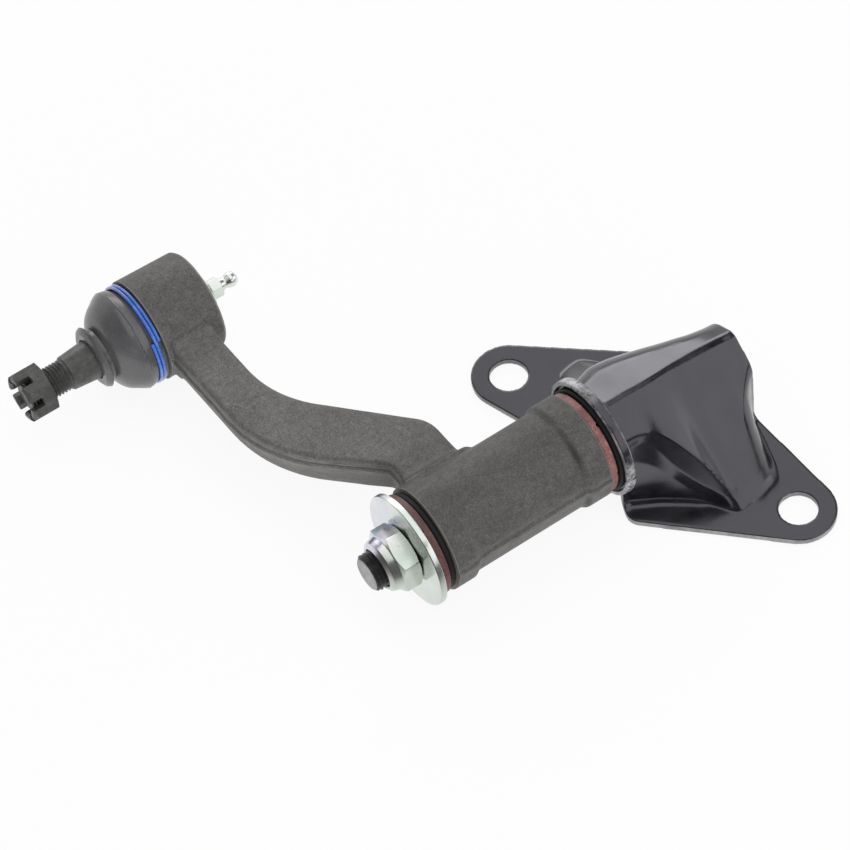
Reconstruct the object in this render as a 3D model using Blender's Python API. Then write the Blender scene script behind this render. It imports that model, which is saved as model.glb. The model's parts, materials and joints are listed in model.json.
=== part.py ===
"""Steering idler arm: a forged arm swings on the pivot shaft of a pressed bracket and carries a ball joint.

The model stands on the bracket's mounting face and on the rim of the ball joint's hub. X runs along the
pivot shaft, from the nut towards the bracket, and Y runs from the pivot towards the ball joint.
"""
import math

import bmesh
import bpy
from mathutils import Matrix, Vector

# Clearances
SEAT_GAP = 0.0003
RUNNING_GAP = 0.0001

# Round pieces: sides of a large, a middling and a small circle
LARGE_SIDES = 40
MIDDLE_SIDES = 28
SMALL_SIDES = 16

# How far a helper's outline clears the corners of a hexagon that it leaves whole
CORNER_ROOM = 1.02

# Edges that bend more than this stay sharp when shaded
SHARP_ANGLE = math.radians(32.0)

# Pressed bracket
SHEET = 0.0028
HOLE_RADIUS = 0.00685
LOBE_RADIUS = 0.0135
HOLE_LEFT = (0.0033, 0.0538)
HOLE_RIGHT = (0.0487, -0.0536)
REAR_EDGE = 0.0618
REAR_CORNER = (REAR_EDGE - 0.0015, 0.0215)
REAR_CORNER_RADIUS = 0.008
FRONT_CORNER = (-0.0007, -0.0225)
FRONT_CORNER_RADIUS = 0.006
FRONT_NOTCH = (0.0030, -0.0100)
FRONT_NOTCH_LEFT = (0.0034, 0.0090)
PLATE_MARGIN = 0.0060

# Pivot shaft and what sits on it. Places along the shaft are measured from the collar ring
SHAFT_HEIGHT = 0.0229
SHAFT_RADIUS = 0.0100
SHAFT_TAIL_RADIUS = 0.0084
SHAFT_TAIL_END = 0.0440
PIVOT_THREAD_RADIUS = 0.0070
PIVOT_THREAD_END = -0.0935
PIVOT_THREAD_CHAMFER = 0.0013
COLLAR_RADIUS = 0.0226
COLLAR_FRONT = -0.0007
COLLAR_THICKNESS = 0.0039
COLLAR_CUP_WALL = 0.0021
COLLAR_CUP_DEPTH = 0.0016
WASHER_RADIUS = 0.0212
WASHER_FRONT = -0.0776
WASHER_THICKNESS = 0.0024
NUT_FLATS = 0.0210
NUT_HEX_HEIGHT = 0.0072
NUT_DOME_HEIGHT = 0.0043
NUT_DOME_RADIUS = 0.0076
NUT_TURN = 12.0

# Forged arm: the barrel on the pivot
BARREL_NEAR = -0.0692
BARREL_FAR = -0.0052
BARREL_RADIUS = 0.0184
BARREL_BAND_RADIUS = 0.0197
BARREL_BAND_NEAR_WIDTH = 0.0078
BARREL_BAND_FAR_WIDTH = 0.0082
BARREL_BAND_STEP = 0.0020
BARREL_CHAMFER = 0.0009
BARREL_BORE_RADIUS = 0.0136
BUSH_FLANGE_RADIUS = 0.0190
BUSH_FLANGE_THICKNESS = 0.0029
BUSH_LENGTH = 0.0240
BUSH_GROOVES = 6
BUSH_GROOVE_WIDTH = 0.0009
BUSH_GROOVE_DEPTH = 0.0011
BUSH_GROOVE_START = 55.6
SEAL_RADIUS = 0.0184
SEAL_WALL = 0.0036
PARTING_RIDGE_WIDTH = 0.0026
PARTING_RIDGE_HEIGHT = 0.0006

# Forged arm: the S-shaped arm and the ball joint's hub
PIVOT_TO_BALL = 0.1385
HUB_NEAR = -0.0953
HUB_FAR = -0.0712
HUB_NEAR_RADIUS = 0.0197
HUB_FAR_RADIUS = 0.0191
HUB_ROUNDING = 0.0016
SPIGOT_RADIUS = 0.0165
SPIGOT_LENGTH = 0.0042
ARM_FRONT_AT_HUB = -0.0942
ARM_FRONT_AT_BARREL = -0.0626
ARM_REAR_AT_HUB = -0.0765
ARM_REAR_AT_BARREL = -0.0399
ARM_FRONT_BEND = 0.0623
ARM_FRONT_BEND_RADIUS = 0.055
ARM_REAR_BEND = 0.0806
ARM_REAR_BEND_RADIUS = 0.043
ARM_FRONT_ROOT = 0.0307
ARM_REAR_ROOT = 0.0381
ARM_ROOT_FRONT_RADIUS = 0.003
ARM_ROOT_REAR_RADIUS = 0.012
ARM_TOP = 0.0050
ARM_BOTTOM_AT_HUB = 0.0070
ARM_BOTTOM_AT_BARREL = 0.0100
ARM_EDGE_ROUNDING = 0.0016
ARM_FILLET = 0.0060
ARM_DRAFT = math.tan(math.radians(6.0))
ARM_FLASH = 0.0003
ARM_FLASH_HALF_WIDTH = 0.0007
ARM_LEAST_STEP = 0.006

# Ball joint
BALL_PLACE = -0.0870
BALL_RADIUS = 0.0120
BALL_FLAT = 0.0095
STUD_NECK_RADIUS = 0.0055
STUD_SHOULDER_RADIUS = 0.0074
STUD_SHOULDER = -0.0225
STUD_TAPER_START = -0.0295
STUD_TAPER_END = -0.0398
STUD_TAPER_END_RADIUS = 0.00645
STUD_THREAD_RADIUS = 0.0059
STUD_END = -0.0570
STUD_END_CHAMFER = 0.0010
SPLIT_PIN_HOLE_RADIUS = 0.0016
SPLIT_PIN_HOLE_PLACE = -0.0545
CASTLE_NUT_BASE = -0.0486
CASTLE_NUT_HEIGHT = 0.0102
CASTLE_NUT_FLATS = 0.0180
CASTLE_SLOT_WIDTH = 0.0033
CASTLE_SLOT_DEPTH = 0.0052
CASTLE_NUT_TURN = 8.0
CAVITY_RADIUS = 0.0146
CAVITY_FLOOR = -0.0955
CAVITY_MOUTH_RADIUS = 0.0105
CAVITY_MOUTH_OUTER_RADIUS = 0.0132
COVER_SEAT = -0.0753
COVER_RADIUS = 0.0155
COVER_THICKNESS = 0.0019
COVER_DOME_RADIUS = 0.0112
COVER_DOME_TOP_RADIUS = 0.0056
COVER_DOME_HEIGHT = 0.0063
ROLLED_RIM_RADIUS = 0.0138
SEAT_PIECE_SPLIT = 0.0002
SPRING_THICKNESS = 0.0009
SPRING_RISE = 0.0005

# Dust boot. Its outside and inside are given from the clamp wire to the neck, as shares of that length
# and of the bulge's radius
BOOT_OUTSIDE = (
    (0.04, 0.95), (0.16, 0.99), (0.26, 1.005), (0.40, 0.985), (0.53, 0.935), (0.68, 0.86), (0.81, 0.76),
    (0.92, 0.64),
)
BOOT_INSIDE = ((0.16, 0.90), (0.40, 0.89), (0.67, 0.78), (0.88, 0.60))
BOOT_WALL = 0.0016
BOOT_EDGE_LIP = 0.0006
BOOT_RING_SEAT_RADIUS = 0.0179
BOOT_BULGE_RADIUS = 0.0191
BOOT_NECK_RADIUS = 0.0102
BOOT_NECK = -0.0132
CLAMP_WIRE_RADIUS = 0.00062
CLAMP_WIRE_PITCH = 0.0014
CLAMP_WIRE_TURNS = 2.0
CLAMP_WIRE_END_ANGLE = 147.7
CLAMP_WIRE_SIDES_PER_TURN = 36
LIP_RING_RADIUS = 0.0119
LIP_RING_THICKNESS = 0.0022
LIP_RING_PLACE = -0.0296

# Grease nipple
NIPPLE_SHANK_RADIUS = 0.0029
NIPPLE_FLATS = 0.0070
NIPPLE_HEX_HEIGHT = 0.0042
NIPPLE_TURN = 20.0
NIPPLE_NECK_RADIUS = 0.0020
NIPPLE_HEAD_RADIUS = 0.0029
NIPPLE_LENGTH = 0.0113
NIPPLE_BORE_RADIUS = 0.00125
NIPPLE_MOUTH_RADIUS = 0.0007
NIPPLE_BALL_RADIUS = 0.0009
NIPPLE_SPRING_WIRE = 0.00018
NIPPLE_SPRING_TURNS = 5

# The arm's angle about the pivot when its hub lies on the ground beside the mounting face
PIVOT_Z = SHEET + SHAFT_HEIGHT
REST_ANGLE = math.asin((HUB_NEAR_RADIUS - PIVOT_Z) / PIVOT_TO_BALL)

# Cross-sections of the bracket's hump, from its front edge to its rear: the place along the shaft, then
# eight corners: the foot beside the right hole, the two bends of the dart in that wall, the roof's shoulder,
# the crease on the roof, and the shoulder, bend and foot on the left.
# Each corner is a (sideways, height) above the plate's upper face
HUMP_SECTIONS = (
    (0.0034, (-0.0168, 0.0), (-0.0166, 0.0240), (-0.0154, 0.0290), (-0.0146, 0.0328),
     (-0.0040, 0.0430), (0.0166, 0.0372), (0.0177, 0.0190), (0.0172, 0.0)),
    (0.0090, (-0.0202, 0.0), (-0.0190, 0.0211), (-0.0152, 0.0283), (-0.0146, 0.0319),
     (-0.0038, 0.0423), (0.0173, 0.0373), (0.0216, 0.0160), (0.0260, 0.0)),
    (0.0128, (-0.0226, 0.0), (-0.0208, 0.0160), (-0.0155, 0.0258), (-0.0146, 0.0312),
     (-0.0036, 0.0419), (0.0177, 0.0373), (0.0242, 0.0140), (0.0320, 0.0)),
    (0.0180, (-0.0271, 0.0), (-0.0245, 0.0103), (-0.0205, 0.0163), (-0.0186, 0.0297),
     (-0.0033, 0.0412), (0.0175, 0.0368), (0.0252, 0.0120), (0.0425, 0.0)),
    (0.0256, (-0.0337, 0.0), (-0.0318, 0.0034), (-0.0302, 0.0055), (-0.0281, 0.0196),
     (-0.0028, 0.0403), (0.0163, 0.0360), (0.0242, 0.0100), (0.0440, 0.0)),
    (0.0330, (-0.0401, 0.0), (-0.0394, 0.0008), (-0.0387, 0.0020), (-0.0378, 0.0064),
     (-0.0023, 0.0394), (0.0147, 0.0355), (0.0212, 0.0090), (0.0370, 0.0)),
    (0.0440, (-0.0409, 0.0), (-0.0392, 0.0010), (-0.0375, 0.0030), (-0.0336, 0.0106),
     (-0.0018, 0.0380), (0.0123, 0.0343), (0.0160, 0.0090), (0.0230, 0.0)),
    (0.0495, (-0.0376, 0.0), (-0.0340, 0.0018), (-0.0305, 0.0050), (-0.0215, 0.0205),
     (-0.0016, 0.0373), (0.0111, 0.0333), (0.0143, 0.0100), (0.0178, 0.0)),
    (0.0530, (-0.0320, 0.0), (-0.0277, 0.0028), (-0.0240, 0.0075), (-0.0173, 0.0228),
     (-0.0015, 0.0368), (0.0108, 0.0325), (0.0139, 0.0120), (0.0158, 0.0)),
    (0.0560, (-0.0220, 0.0), (-0.0202, 0.0036), (-0.0185, 0.0085), (-0.0150, 0.0243),
     (-0.0014, 0.0364), (0.0107, 0.0317), (0.0137, 0.0140), (0.0146, 0.0)),
    (0.0590, (-0.0148, 0.0), (-0.0144, 0.0055), (-0.0140, 0.0120), (-0.0130, 0.0256),
     (-0.0014, 0.0362), (0.0108, 0.0307), (0.0136, 0.0160), (0.0139, 0.0)),
    (0.0618, (-0.0125, 0.0), (-0.0124, 0.0068), (-0.0122, 0.0140), (-0.0114, 0.0260),
     (-0.0014, 0.0360), (0.0110, 0.0299), (0.0134, 0.0180), (0.0136, 0.0)),
)
HUMP_ROUNDINGS_FRONT = (0.0035, 0.0033, 0.0032, 0.0034, 0.0032, 0.0130, 0.0100, 0.0040)
HUMP_ROUNDINGS_REAR = (0.0035, 0.0100, 0.0120, 0.0080, 0.0080, 0.0110, 0.0100, 0.0040)
HUMP_ROUNDINGS_CHANGE = (0.0330, 0.0500)
HUMP_LEAST_ROUNDING = 0.0004
HUMP_ARC_STEPS = 3
HUMP_STATIONS = 20


def clear_scene():
    for obj in list(bpy.data.objects):
        bpy.data.objects.remove(obj, do_unlink=True)


def make_material(name, colour, roughness, metallic=0.0):
    made = bpy.data.materials.new(name)
    made.use_nodes = True
    shader = made.node_tree.nodes["Principled BSDF"]
    shader.inputs["Base Color"].default_value = (*colour, 1.0)
    shader.inputs["Roughness"].default_value = roughness
    shader.inputs["Metallic"].default_value = metallic
    return made


def make_empty(name, parent=None, location=(0.0, 0.0, 0.0), turn_x=0.0):
    empty = bpy.data.objects.new(name, None)
    empty.location = location
    empty.rotation_euler = (turn_x, 0.0, 0.0)
    empty.parent = parent
    bpy.context.scene.collection.objects.link(empty)
    return empty


def add_object(name, bm, parent, material=None, smooth=True):
    """Makes an object from a bmesh whose faces form closed shells."""
    bmesh.ops.recalc_face_normals(bm, faces=bm.faces[:])
    mesh = bpy.data.meshes.new(name)
    bm.to_mesh(mesh)
    bm.free()
    if smooth:
        mesh.shade_smooth()
        mesh.set_sharp_from_angle(angle=SHARP_ANGLE)
    obj = bpy.data.objects.new(name, mesh)
    obj.parent = parent
    if material:
        mesh.materials.append(material)
    bpy.context.scene.collection.objects.link(obj)
    return obj


def boolean(target, tool, operation):
    """Cuts, joins or intersects the target with a helper that renders leave out."""
    tool.hide_render = True
    tool.display_type = "WIRE"
    modifier = target.modifiers.new(operation.lower() + " " + tool.name, "BOOLEAN")
    modifier.operation = operation
    modifier.solver = "EXACT"
    modifier.object = tool


def turned(profile, sides=MIDDLE_SIDES, offset_y=0.0):
    """A solid turned about the X axis from (x, radius) points. A profile that starts and ends at radius 0
    is solid, and any other closes on itself as a ring."""
    bm = bmesh.new()
    points = [bm.verts.new((x, 0.0, radius)) for x, radius in profile]
    on_axis = profile[0][1] == 0.0 and profile[-1][1] == 0.0
    ends = list(zip(points, points[1:]))
    if not on_axis:
        ends.append((points[-1], points[0]))
    edges = [bm.edges.new(pair) for pair in ends]
    bmesh.ops.spin(
        bm, geom=points + edges, cent=(0.0, 0.0, 0.0), axis=(1.0, 0.0, 0.0),
        angle=math.tau, steps=sides, use_merge=True,
    )
    bmesh.ops.remove_doubles(bm, verts=bm.verts[:], dist=1e-6)
    bmesh.ops.translate(bm, verts=bm.verts[:], vec=(0.0, offset_y, 0.0))
    return bm


def arc_profile(centre_x, radius, start_x, end_x, steps):
    """(x, radius) points along a sphere about centre_x, from one place to another along its axis."""
    first = math.acos((start_x - centre_x) / radius)
    last = math.acos((end_x - centre_x) / radius)
    angles = [first + (last - first) * step / steps for step in range(steps + 1)]
    return [(centre_x + radius * math.cos(angle), radius * math.sin(angle)) for angle in angles]


def hexagon_prism(flats, start, end, turn_degrees):
    """A hexagonal bar along X between two places."""
    bm = bmesh.new()
    corner = flats / 2 / math.cos(math.pi / 6)
    turns = [math.radians(turn_degrees) + side * math.pi / 3 for side in range(6)]
    face = bm.faces.new([
        bm.verts.new((start, corner * math.cos(turn), corner * math.sin(turn))) for turn in turns
    ])
    pushed = bmesh.ops.extrude_face_region(bm, geom=[face])
    moved = [item for item in pushed["geom"] if isinstance(item, bmesh.types.BMVert)]
    bmesh.ops.translate(bm, verts=moved, vec=(end - start, 0.0, 0.0))
    return bm


def add_box(bm, low, high, turn_x):
    """Adds a box between two corners, turned about the X axis."""
    centre = (Vector(low) + Vector(high)) / 2
    size = Vector(high) - Vector(low)
    place = Matrix.Rotation(turn_x, 4, "X") @ Matrix.Translation(centre) @ Matrix.Diagonal((*size, 1.0))
    bmesh.ops.create_cube(bm, size=1.0, matrix=place)


def prism(outline, low, high):
    """An outline of (x, y) points drawn up between two heights."""
    bm = bmesh.new()
    face = bm.faces.new([bm.verts.new((x, y, low)) for x, y in outline])
    pushed = bmesh.ops.extrude_face_region(bm, geom=[face])
    moved = [item for item in pushed["geom"] if isinstance(item, bmesh.types.BMVert)]
    bmesh.ops.translate(bm, verts=moved, vec=(0.0, 0.0, high - low))
    return bm


def rounded_corner(before, corner, after, radius, steps):
    """Points of the arc that rounds a corner, limited to what its two sides can hold."""
    before, corner, after = Vector(before), Vector(corner), Vector(after)
    to_before = (before - corner).normalized()
    to_after = (after - corner).normalized()
    half = to_before.angle(to_after) / 2
    room = 0.48 * min((before - corner).length, (after - corner).length)
    if half > math.radians(89.5):
        reach = min(radius / 4, room)
        first, last = corner + to_before * reach, corner + to_after * reach
        return [first.lerp(last, step / steps) for step in range(steps + 1)]
    reach = min(radius / math.tan(half), room)
    radius = reach * math.tan(half)
    centre = corner + (to_before + to_after).normalized() * (radius / math.sin(half))
    first = corner + to_before * reach - centre
    last = corner + to_after * reach - centre
    sweep = math.pi - 2 * half
    points = []
    for step in range(steps + 1):
        share = step / steps
        blend = first * math.sin((1 - share) * sweep) + last * math.sin(share * sweep)
        points.append(centre + blend / math.sin(sweep))
    return points


def rounded_path(points, radii, steps=4):
    """An open path whose inner corners are rounded, as a list of vectors."""
    path = [Vector(points[0])]
    for index in range(1, len(points) - 1):
        path += rounded_corner(points[index - 1], points[index], points[index + 1], radii[index - 1], steps)
    path.append(Vector(points[-1]))
    return path


def smooth_value(places, values, place):
    """A monotone cubic through values at rising places."""
    place = min(max(place, places[0]), places[-1])
    slopes = [
        (values[index + 1] - values[index]) / (places[index + 1] - places[index])
        for index in range(len(places) - 1)
    ]
    tangents = [slopes[0]]
    for left, right in zip(slopes, slopes[1:]):
        tangents.append(0.0 if left * right <= 0 else 2 * left * right / (left + right))
    tangents.append(slopes[-1])
    index = max(i for i in range(len(places) - 1) if places[i] <= place)
    width = places[index + 1] - places[index]
    share = (place - places[index]) / width
    low, high = values[index], values[index + 1]
    return (
        low * (1 + 2 * share) * (1 - share) ** 2
        + high * share ** 2 * (3 - 2 * share)
        + tangents[index] * width * share * (1 - share) ** 2
        + tangents[index + 1] * width * share ** 2 * (share - 1)
    )


def tangent_point(outside, centre, radius, side):
    """Where the line from a point outside touches a circle; side is 1 or -1."""
    outside, centre = Vector(outside), Vector(centre)
    away = outside - centre
    turn = side * math.acos(radius / away.length)
    cosine, sine = math.cos(turn), math.sin(turn)
    unit = away.normalized()
    return centre + radius * Vector((unit.x * cosine - unit.y * sine, unit.x * sine + unit.y * cosine))


def arc_between(centre, start, end, steps):
    """Points counter-clockwise round a centre from start to end."""
    first = math.atan2(start[1] - centre[1], start[0] - centre[0])
    last = math.atan2(end[1] - centre[1], end[0] - centre[0])
    if last < first:
        last += math.tau
    radius = math.dist(centre, start)
    turns = [first + (last - first) * step / steps for step in range(steps + 1)]
    return [(centre[0] + radius * math.cos(turn), centre[1] + radius * math.sin(turn)) for turn in turns]


def plate_outline():
    """The trimmed edge of the bracket, seen from above: two lobes at opposite ends of a skewed plate."""
    left_in = tangent_point(REAR_CORNER, HOLE_LEFT, LOBE_RADIUS, 1)
    left_out = tangent_point(FRONT_NOTCH_LEFT, HOLE_LEFT, LOBE_RADIUS, -1)
    right_in = tangent_point(FRONT_CORNER, HOLE_RIGHT, LOBE_RADIUS, 1)
    right_out = Vector((HOLE_RIGHT[0] + LOBE_RADIUS, HOLE_RIGHT[1]))
    outline = arc_between(HOLE_LEFT, left_in, left_out, 12)
    outline.append(FRONT_NOTCH_LEFT)
    outline.append(FRONT_NOTCH)
    outline += rounded_corner(FRONT_NOTCH, FRONT_CORNER, right_in, FRONT_CORNER_RADIUS, 5)
    outline += arc_between(HOLE_RIGHT, right_in, right_out, 12)
    outline += rounded_corner(right_out, REAR_CORNER, left_in, REAR_CORNER_RADIUS, 5)
    return [(point[0], point[1]) for point in outline]


def offset_path(points, distance):
    """The corners of an open path moved to its right, so that each side keeps its distance."""
    points = [Vector(point) for point in points]
    normals = [
        Vector((after.y - before.y, before.x - after.x)).normalized()
        for before, after in zip(points, points[1:])
    ]
    moved = [points[0] + normals[0] * distance]
    for point, before, after in zip(points[1:], normals, normals[1:]):
        both = (before + after).normalized()
        moved.append(point + both * (distance / both.dot(before)))
    moved.append(points[-1] + normals[-1] * distance)
    return moved


def hump_section(place):
    """A closed cross-section of the pressed sheet: along its upper face and back along its underside."""
    places = [section[0] for section in HUMP_SECTIONS]
    corners = []
    for corner in range(1, len(HUMP_SECTIONS[0])):
        corners.append(tuple(
            smooth_value(places, [section[corner][part] for section in HUMP_SECTIONS], place)
            for part in range(2)
        ))
    reach_right = HOLE_RIGHT[1] - LOBE_RADIUS - PLATE_MARGIN
    reach_left = HOLE_LEFT[1] + LOBE_RADIUS + PLATE_MARGIN
    upper = [(reach_right, 0.0), *corners, (reach_left, 0.0)]
    lower = offset_path(upper, SHEET)
    start, end = HUMP_ROUNDINGS_CHANGE
    share = min(max((place - start) / (end - start), 0.0), 1.0)
    roundings = [
        front + (rear - front) * share for front, rear in zip(HUMP_ROUNDINGS_FRONT, HUMP_ROUNDINGS_REAR)
    ]
    inside = []
    for index, radius in enumerate(roundings):
        before, corner, after = (Vector(upper[index + step]) for step in range(3))
        convex = (corner - before).cross(after - corner) < 0
        inside.append(max(radius - SHEET, HUMP_LEAST_ROUNDING) if convex else radius + SHEET)
    top = rounded_path(upper, roundings, HUMP_ARC_STEPS)
    underside = rounded_path(lower, inside, HUMP_ARC_STEPS)
    return top + underside[::-1]


def make_bracket(parent, material):
    """The pressed sheet: a loft of its cross-sections, then trimmed and pierced."""
    front = HOLE_LEFT[0] - LOBE_RADIUS - PLATE_MARGIN
    rear = REAR_EDGE + PLATE_MARGIN
    hump_front, hump_rear = HUMP_SECTIONS[0][0], HUMP_SECTIONS[-1][0]
    inner = [
        hump_front + (hump_rear - hump_front) * station / HUMP_STATIONS
        for station in range(HUMP_STATIONS + 1)
    ]
    bm = bmesh.new()
    rows = []
    for place in [front, *inner, rear]:
        rows.append([bm.verts.new((place, point[0], SHEET + point[1])) for point in hump_section(place)])
    for row, following in zip(rows, rows[1:]):
        for index in range(len(row)):
            after = (index + 1) % len(row)
            bm.faces.new((row[index], following[index], following[after], row[after]))
    bm.faces.new(rows[0])
    bm.faces.new(rows[-1])
    bracket = add_object("mounting_bracket", bm, parent, material)
    trim = add_object("bracket_trim", prism(plate_outline(), -SHEET, 3 * SHAFT_HEIGHT), parent)
    boolean(bracket, trim, "INTERSECT")
    for name, hole in (("left", HOLE_LEFT), ("right", HOLE_RIGHT)):
        circle = [
            (hole[0] + HOLE_RADIUS * math.cos(turn), hole[1] + HOLE_RADIUS * math.sin(turn))
            for turn in (math.tau * side / MIDDLE_SIDES for side in range(MIDDLE_SIDES))
        ]
        boolean(bracket, add_object("hole_" + name, prism(circle, -SHEET, 3 * SHEET), parent), "DIFFERENCE")
    return bracket


def make_collar_clearance(bracket, pivot):
    """Room for the collar ring in front of the hump's edge."""
    reach = COLLAR_RADIUS + SEAT_GAP
    end = COLLAR_FRONT + COLLAR_THICKNESS + SEAT_GAP
    start = HOLE_LEFT[0] - LOBE_RADIUS - PLATE_MARGIN
    cutter = add_object(
        "collar_clearance", turned([(start, 0.0), (start, reach), (end, reach), (end, 0.0)], LARGE_SIDES), pivot
    )
    boolean(bracket, cutter, "DIFFERENCE")


def make_shaft(pivot, material):
    """The pivot shaft: thread, bearing length and the tail that the bracket's hump holds."""
    shoulder = WASHER_FRONT + WASHER_THICKNESS + SEAT_GAP
    step = COLLAR_FRONT + COLLAR_THICKNESS
    end_radius = PIVOT_THREAD_RADIUS - PIVOT_THREAD_CHAMFER
    profile = [
        (PIVOT_THREAD_END, 0.0),
        (PIVOT_THREAD_END, end_radius),
        (PIVOT_THREAD_END + PIVOT_THREAD_CHAMFER, PIVOT_THREAD_RADIUS),
        (shoulder, PIVOT_THREAD_RADIUS),
        (shoulder, SHAFT_RADIUS),
        (step, SHAFT_RADIUS),
        (step, SHAFT_TAIL_RADIUS),
        (SHAFT_TAIL_END - PIVOT_THREAD_CHAMFER, SHAFT_TAIL_RADIUS),
        (SHAFT_TAIL_END, SHAFT_TAIL_RADIUS - PIVOT_THREAD_CHAMFER),
        (SHAFT_TAIL_END, 0.0),
    ]
    add_object("pivot_shaft", turned(profile), pivot, material)


def make_collar(pivot, material):
    """The cupped ring between the bracket and the bushing's flange."""
    bore = SHAFT_RADIUS + SEAT_GAP
    back = COLLAR_FRONT + COLLAR_THICKNESS
    edge = COLLAR_CUP_WALL / 3
    cup = COLLAR_RADIUS - COLLAR_CUP_WALL
    profile = [
        (COLLAR_FRONT + COLLAR_CUP_DEPTH, bore),
        (COLLAR_FRONT + COLLAR_CUP_DEPTH, cup),
        (COLLAR_FRONT, cup + edge / 2),
        (COLLAR_FRONT, COLLAR_RADIUS - edge),
        (COLLAR_FRONT + edge, COLLAR_RADIUS),
        (back - edge, COLLAR_RADIUS),
        (back, COLLAR_RADIUS - edge),
        (back, bore),
    ]
    add_object("collar_ring", turned(profile, LARGE_SIDES), pivot, material)


def make_washer(pivot, material):
    edge = WASHER_THICKNESS / 6
    back = WASHER_FRONT + WASHER_THICKNESS
    bore = PIVOT_THREAD_RADIUS + SEAT_GAP
    profile = [
        (WASHER_FRONT, bore),
        (WASHER_FRONT, WASHER_RADIUS - edge),
        (WASHER_FRONT + edge, WASHER_RADIUS),
        (back - edge, WASHER_RADIUS),
        (back, WASHER_RADIUS - edge),
        (back, bore),
    ]
    add_object("pivot_washer", turned(profile, LARGE_SIDES), pivot, material)


def make_pivot_nut(pivot, material):
    """A hexagon whose corners are chamfered into a domed locking collar."""
    base = WASHER_FRONT - SEAT_GAP
    top = base - NUT_HEX_HEIGHT
    end = top - NUT_DOME_HEIGHT
    flat = NUT_FLATS / 2
    corner = flat / math.cos(math.pi / 6)
    chamfer = (corner - flat) * 0.6
    nut = add_object(
        "pivot_nut", hexagon_prism(NUT_FLATS, base, end, NUT_TURN), pivot, material
    )
    envelope = [
        (end, 0.0),
        (end, NUT_DOME_RADIUS),
        (end + NUT_DOME_HEIGHT * 0.2, NUT_DOME_RADIUS + NUT_DOME_HEIGHT * 0.35),
        (top - NUT_DOME_HEIGHT * 0.35, flat * 0.955),
        (top - NUT_DOME_HEIGHT * 0.15, flat * 0.97),
        (top + chamfer * 0.7, corner * CORNER_ROOM),
        (base - chamfer * 0.5, corner * CORNER_ROOM),
        (base, flat * 0.98),
        (base, 0.0),
    ]
    boolean(nut, add_object("nut_envelope", turned(envelope, LARGE_SIDES), pivot), "INTERSECT")
    bore = PIVOT_THREAD_RADIUS + SEAT_GAP
    beyond = NUT_DOME_HEIGHT
    drill = [(end - beyond, 0.0), (end - beyond, bore), (base + beyond, bore), (base + beyond, 0.0)]
    boolean(nut, add_object("nut_bore", turned(drill), pivot), "DIFFERENCE")


def barrel_outline(proud=0.0):
    """(x, radius) points of the barrel's outside: two bands with a slimmer stretch between."""
    band, slim = BARREL_BAND_RADIUS + proud, BARREL_RADIUS + proud
    near_band, far_band = BARREL_NEAR + BARREL_BAND_NEAR_WIDTH, BARREL_FAR - BARREL_BAND_FAR_WIDTH
    return [
        (BARREL_NEAR, band - BARREL_CHAMFER),
        (BARREL_NEAR + BARREL_CHAMFER, band),
        (near_band, band),
        (near_band + BARREL_BAND_STEP, slim),
        (far_band - BARREL_BAND_STEP, slim),
        (far_band, band),
        (BARREL_FAR - BARREL_CHAMFER, band),
        (BARREL_FAR, band - BARREL_CHAMFER),
    ]


def hub_outline():
    """(x, radius) points of the hub's outside, with the spigot that the boot grips and a rolled far rim."""
    face = HUB_NEAR - SPIGOT_LENGTH
    edge = HUB_ROUNDING / 3
    return [
        (face, 0.0),
        (face, SPIGOT_RADIUS),
        (HUB_NEAR, SPIGOT_RADIUS),
        (HUB_NEAR, HUB_NEAR_RADIUS - edge),
        (HUB_NEAR + edge, HUB_NEAR_RADIUS),
        (HUB_FAR - HUB_ROUNDING, HUB_FAR_RADIUS),
        (HUB_FAR - HUB_ROUNDING * 0.3, HUB_FAR_RADIUS - HUB_ROUNDING * 0.3),
        (HUB_FAR, HUB_FAR_RADIUS - HUB_ROUNDING),
        (HUB_FAR, 0.0),
    ]


def arm_edges():
    """The S-shaped arm's two edges on its parting plane, each as points from the barrel to the hub."""
    into_barrel = BARREL_RADIUS * 0.75
    into_hub = PIVOT_TO_BALL - HUB_NEAR_RADIUS * 0.75
    flare = ARM_FILLET
    front = rounded_path(
        [
            (ARM_FRONT_AT_BARREL - flare, into_barrel),
            (ARM_FRONT_AT_BARREL, BARREL_RADIUS + flare),
            (ARM_FRONT_AT_BARREL, ARM_FRONT_ROOT),
            (ARM_FRONT_AT_HUB, ARM_FRONT_BEND),
            (ARM_FRONT_AT_HUB, into_hub),
        ],
        (flare / 2, ARM_ROOT_FRONT_RADIUS, ARM_FRONT_BEND_RADIUS),
        6,
    )
    rear = rounded_path(
        [
            (ARM_REAR_AT_BARREL + flare, into_barrel),
            (ARM_REAR_AT_BARREL, BARREL_RADIUS + flare / 3),
            (ARM_REAR_AT_BARREL, ARM_REAR_ROOT),
            (ARM_REAR_AT_HUB, ARM_REAR_BEND),
            (ARM_REAR_AT_HUB, into_hub),
        ],
        (flare / 2, ARM_ROOT_REAR_RADIUS, ARM_REAR_BEND_RADIUS),
        6,
    )
    return front, rear


def path_shares(path):
    """The share of a path's length at each of its points."""
    lengths = [0.0]
    for point, following in zip(path, path[1:]):
        lengths.append(lengths[-1] + (following - point).length)
    return [length / lengths[-1] for length in lengths]


def point_at(path, shares, share):
    index = max(i for i in range(len(shares) - 1) if shares[i] <= share + 1e-9)
    part = (share - shares[index]) / (shares[index + 1] - shares[index])
    return path[index].lerp(path[index + 1], min(max(part, 0.0), 1.0))


def fillet_rise(distance):
    """How far a round fillet stands above its flat at a distance from the wall."""
    if distance >= ARM_FILLET:
        return 0.0
    reach = ARM_FILLET - max(distance, 0.0)
    return ARM_FILLET - math.sqrt(ARM_FILLET ** 2 - reach ** 2)


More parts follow.
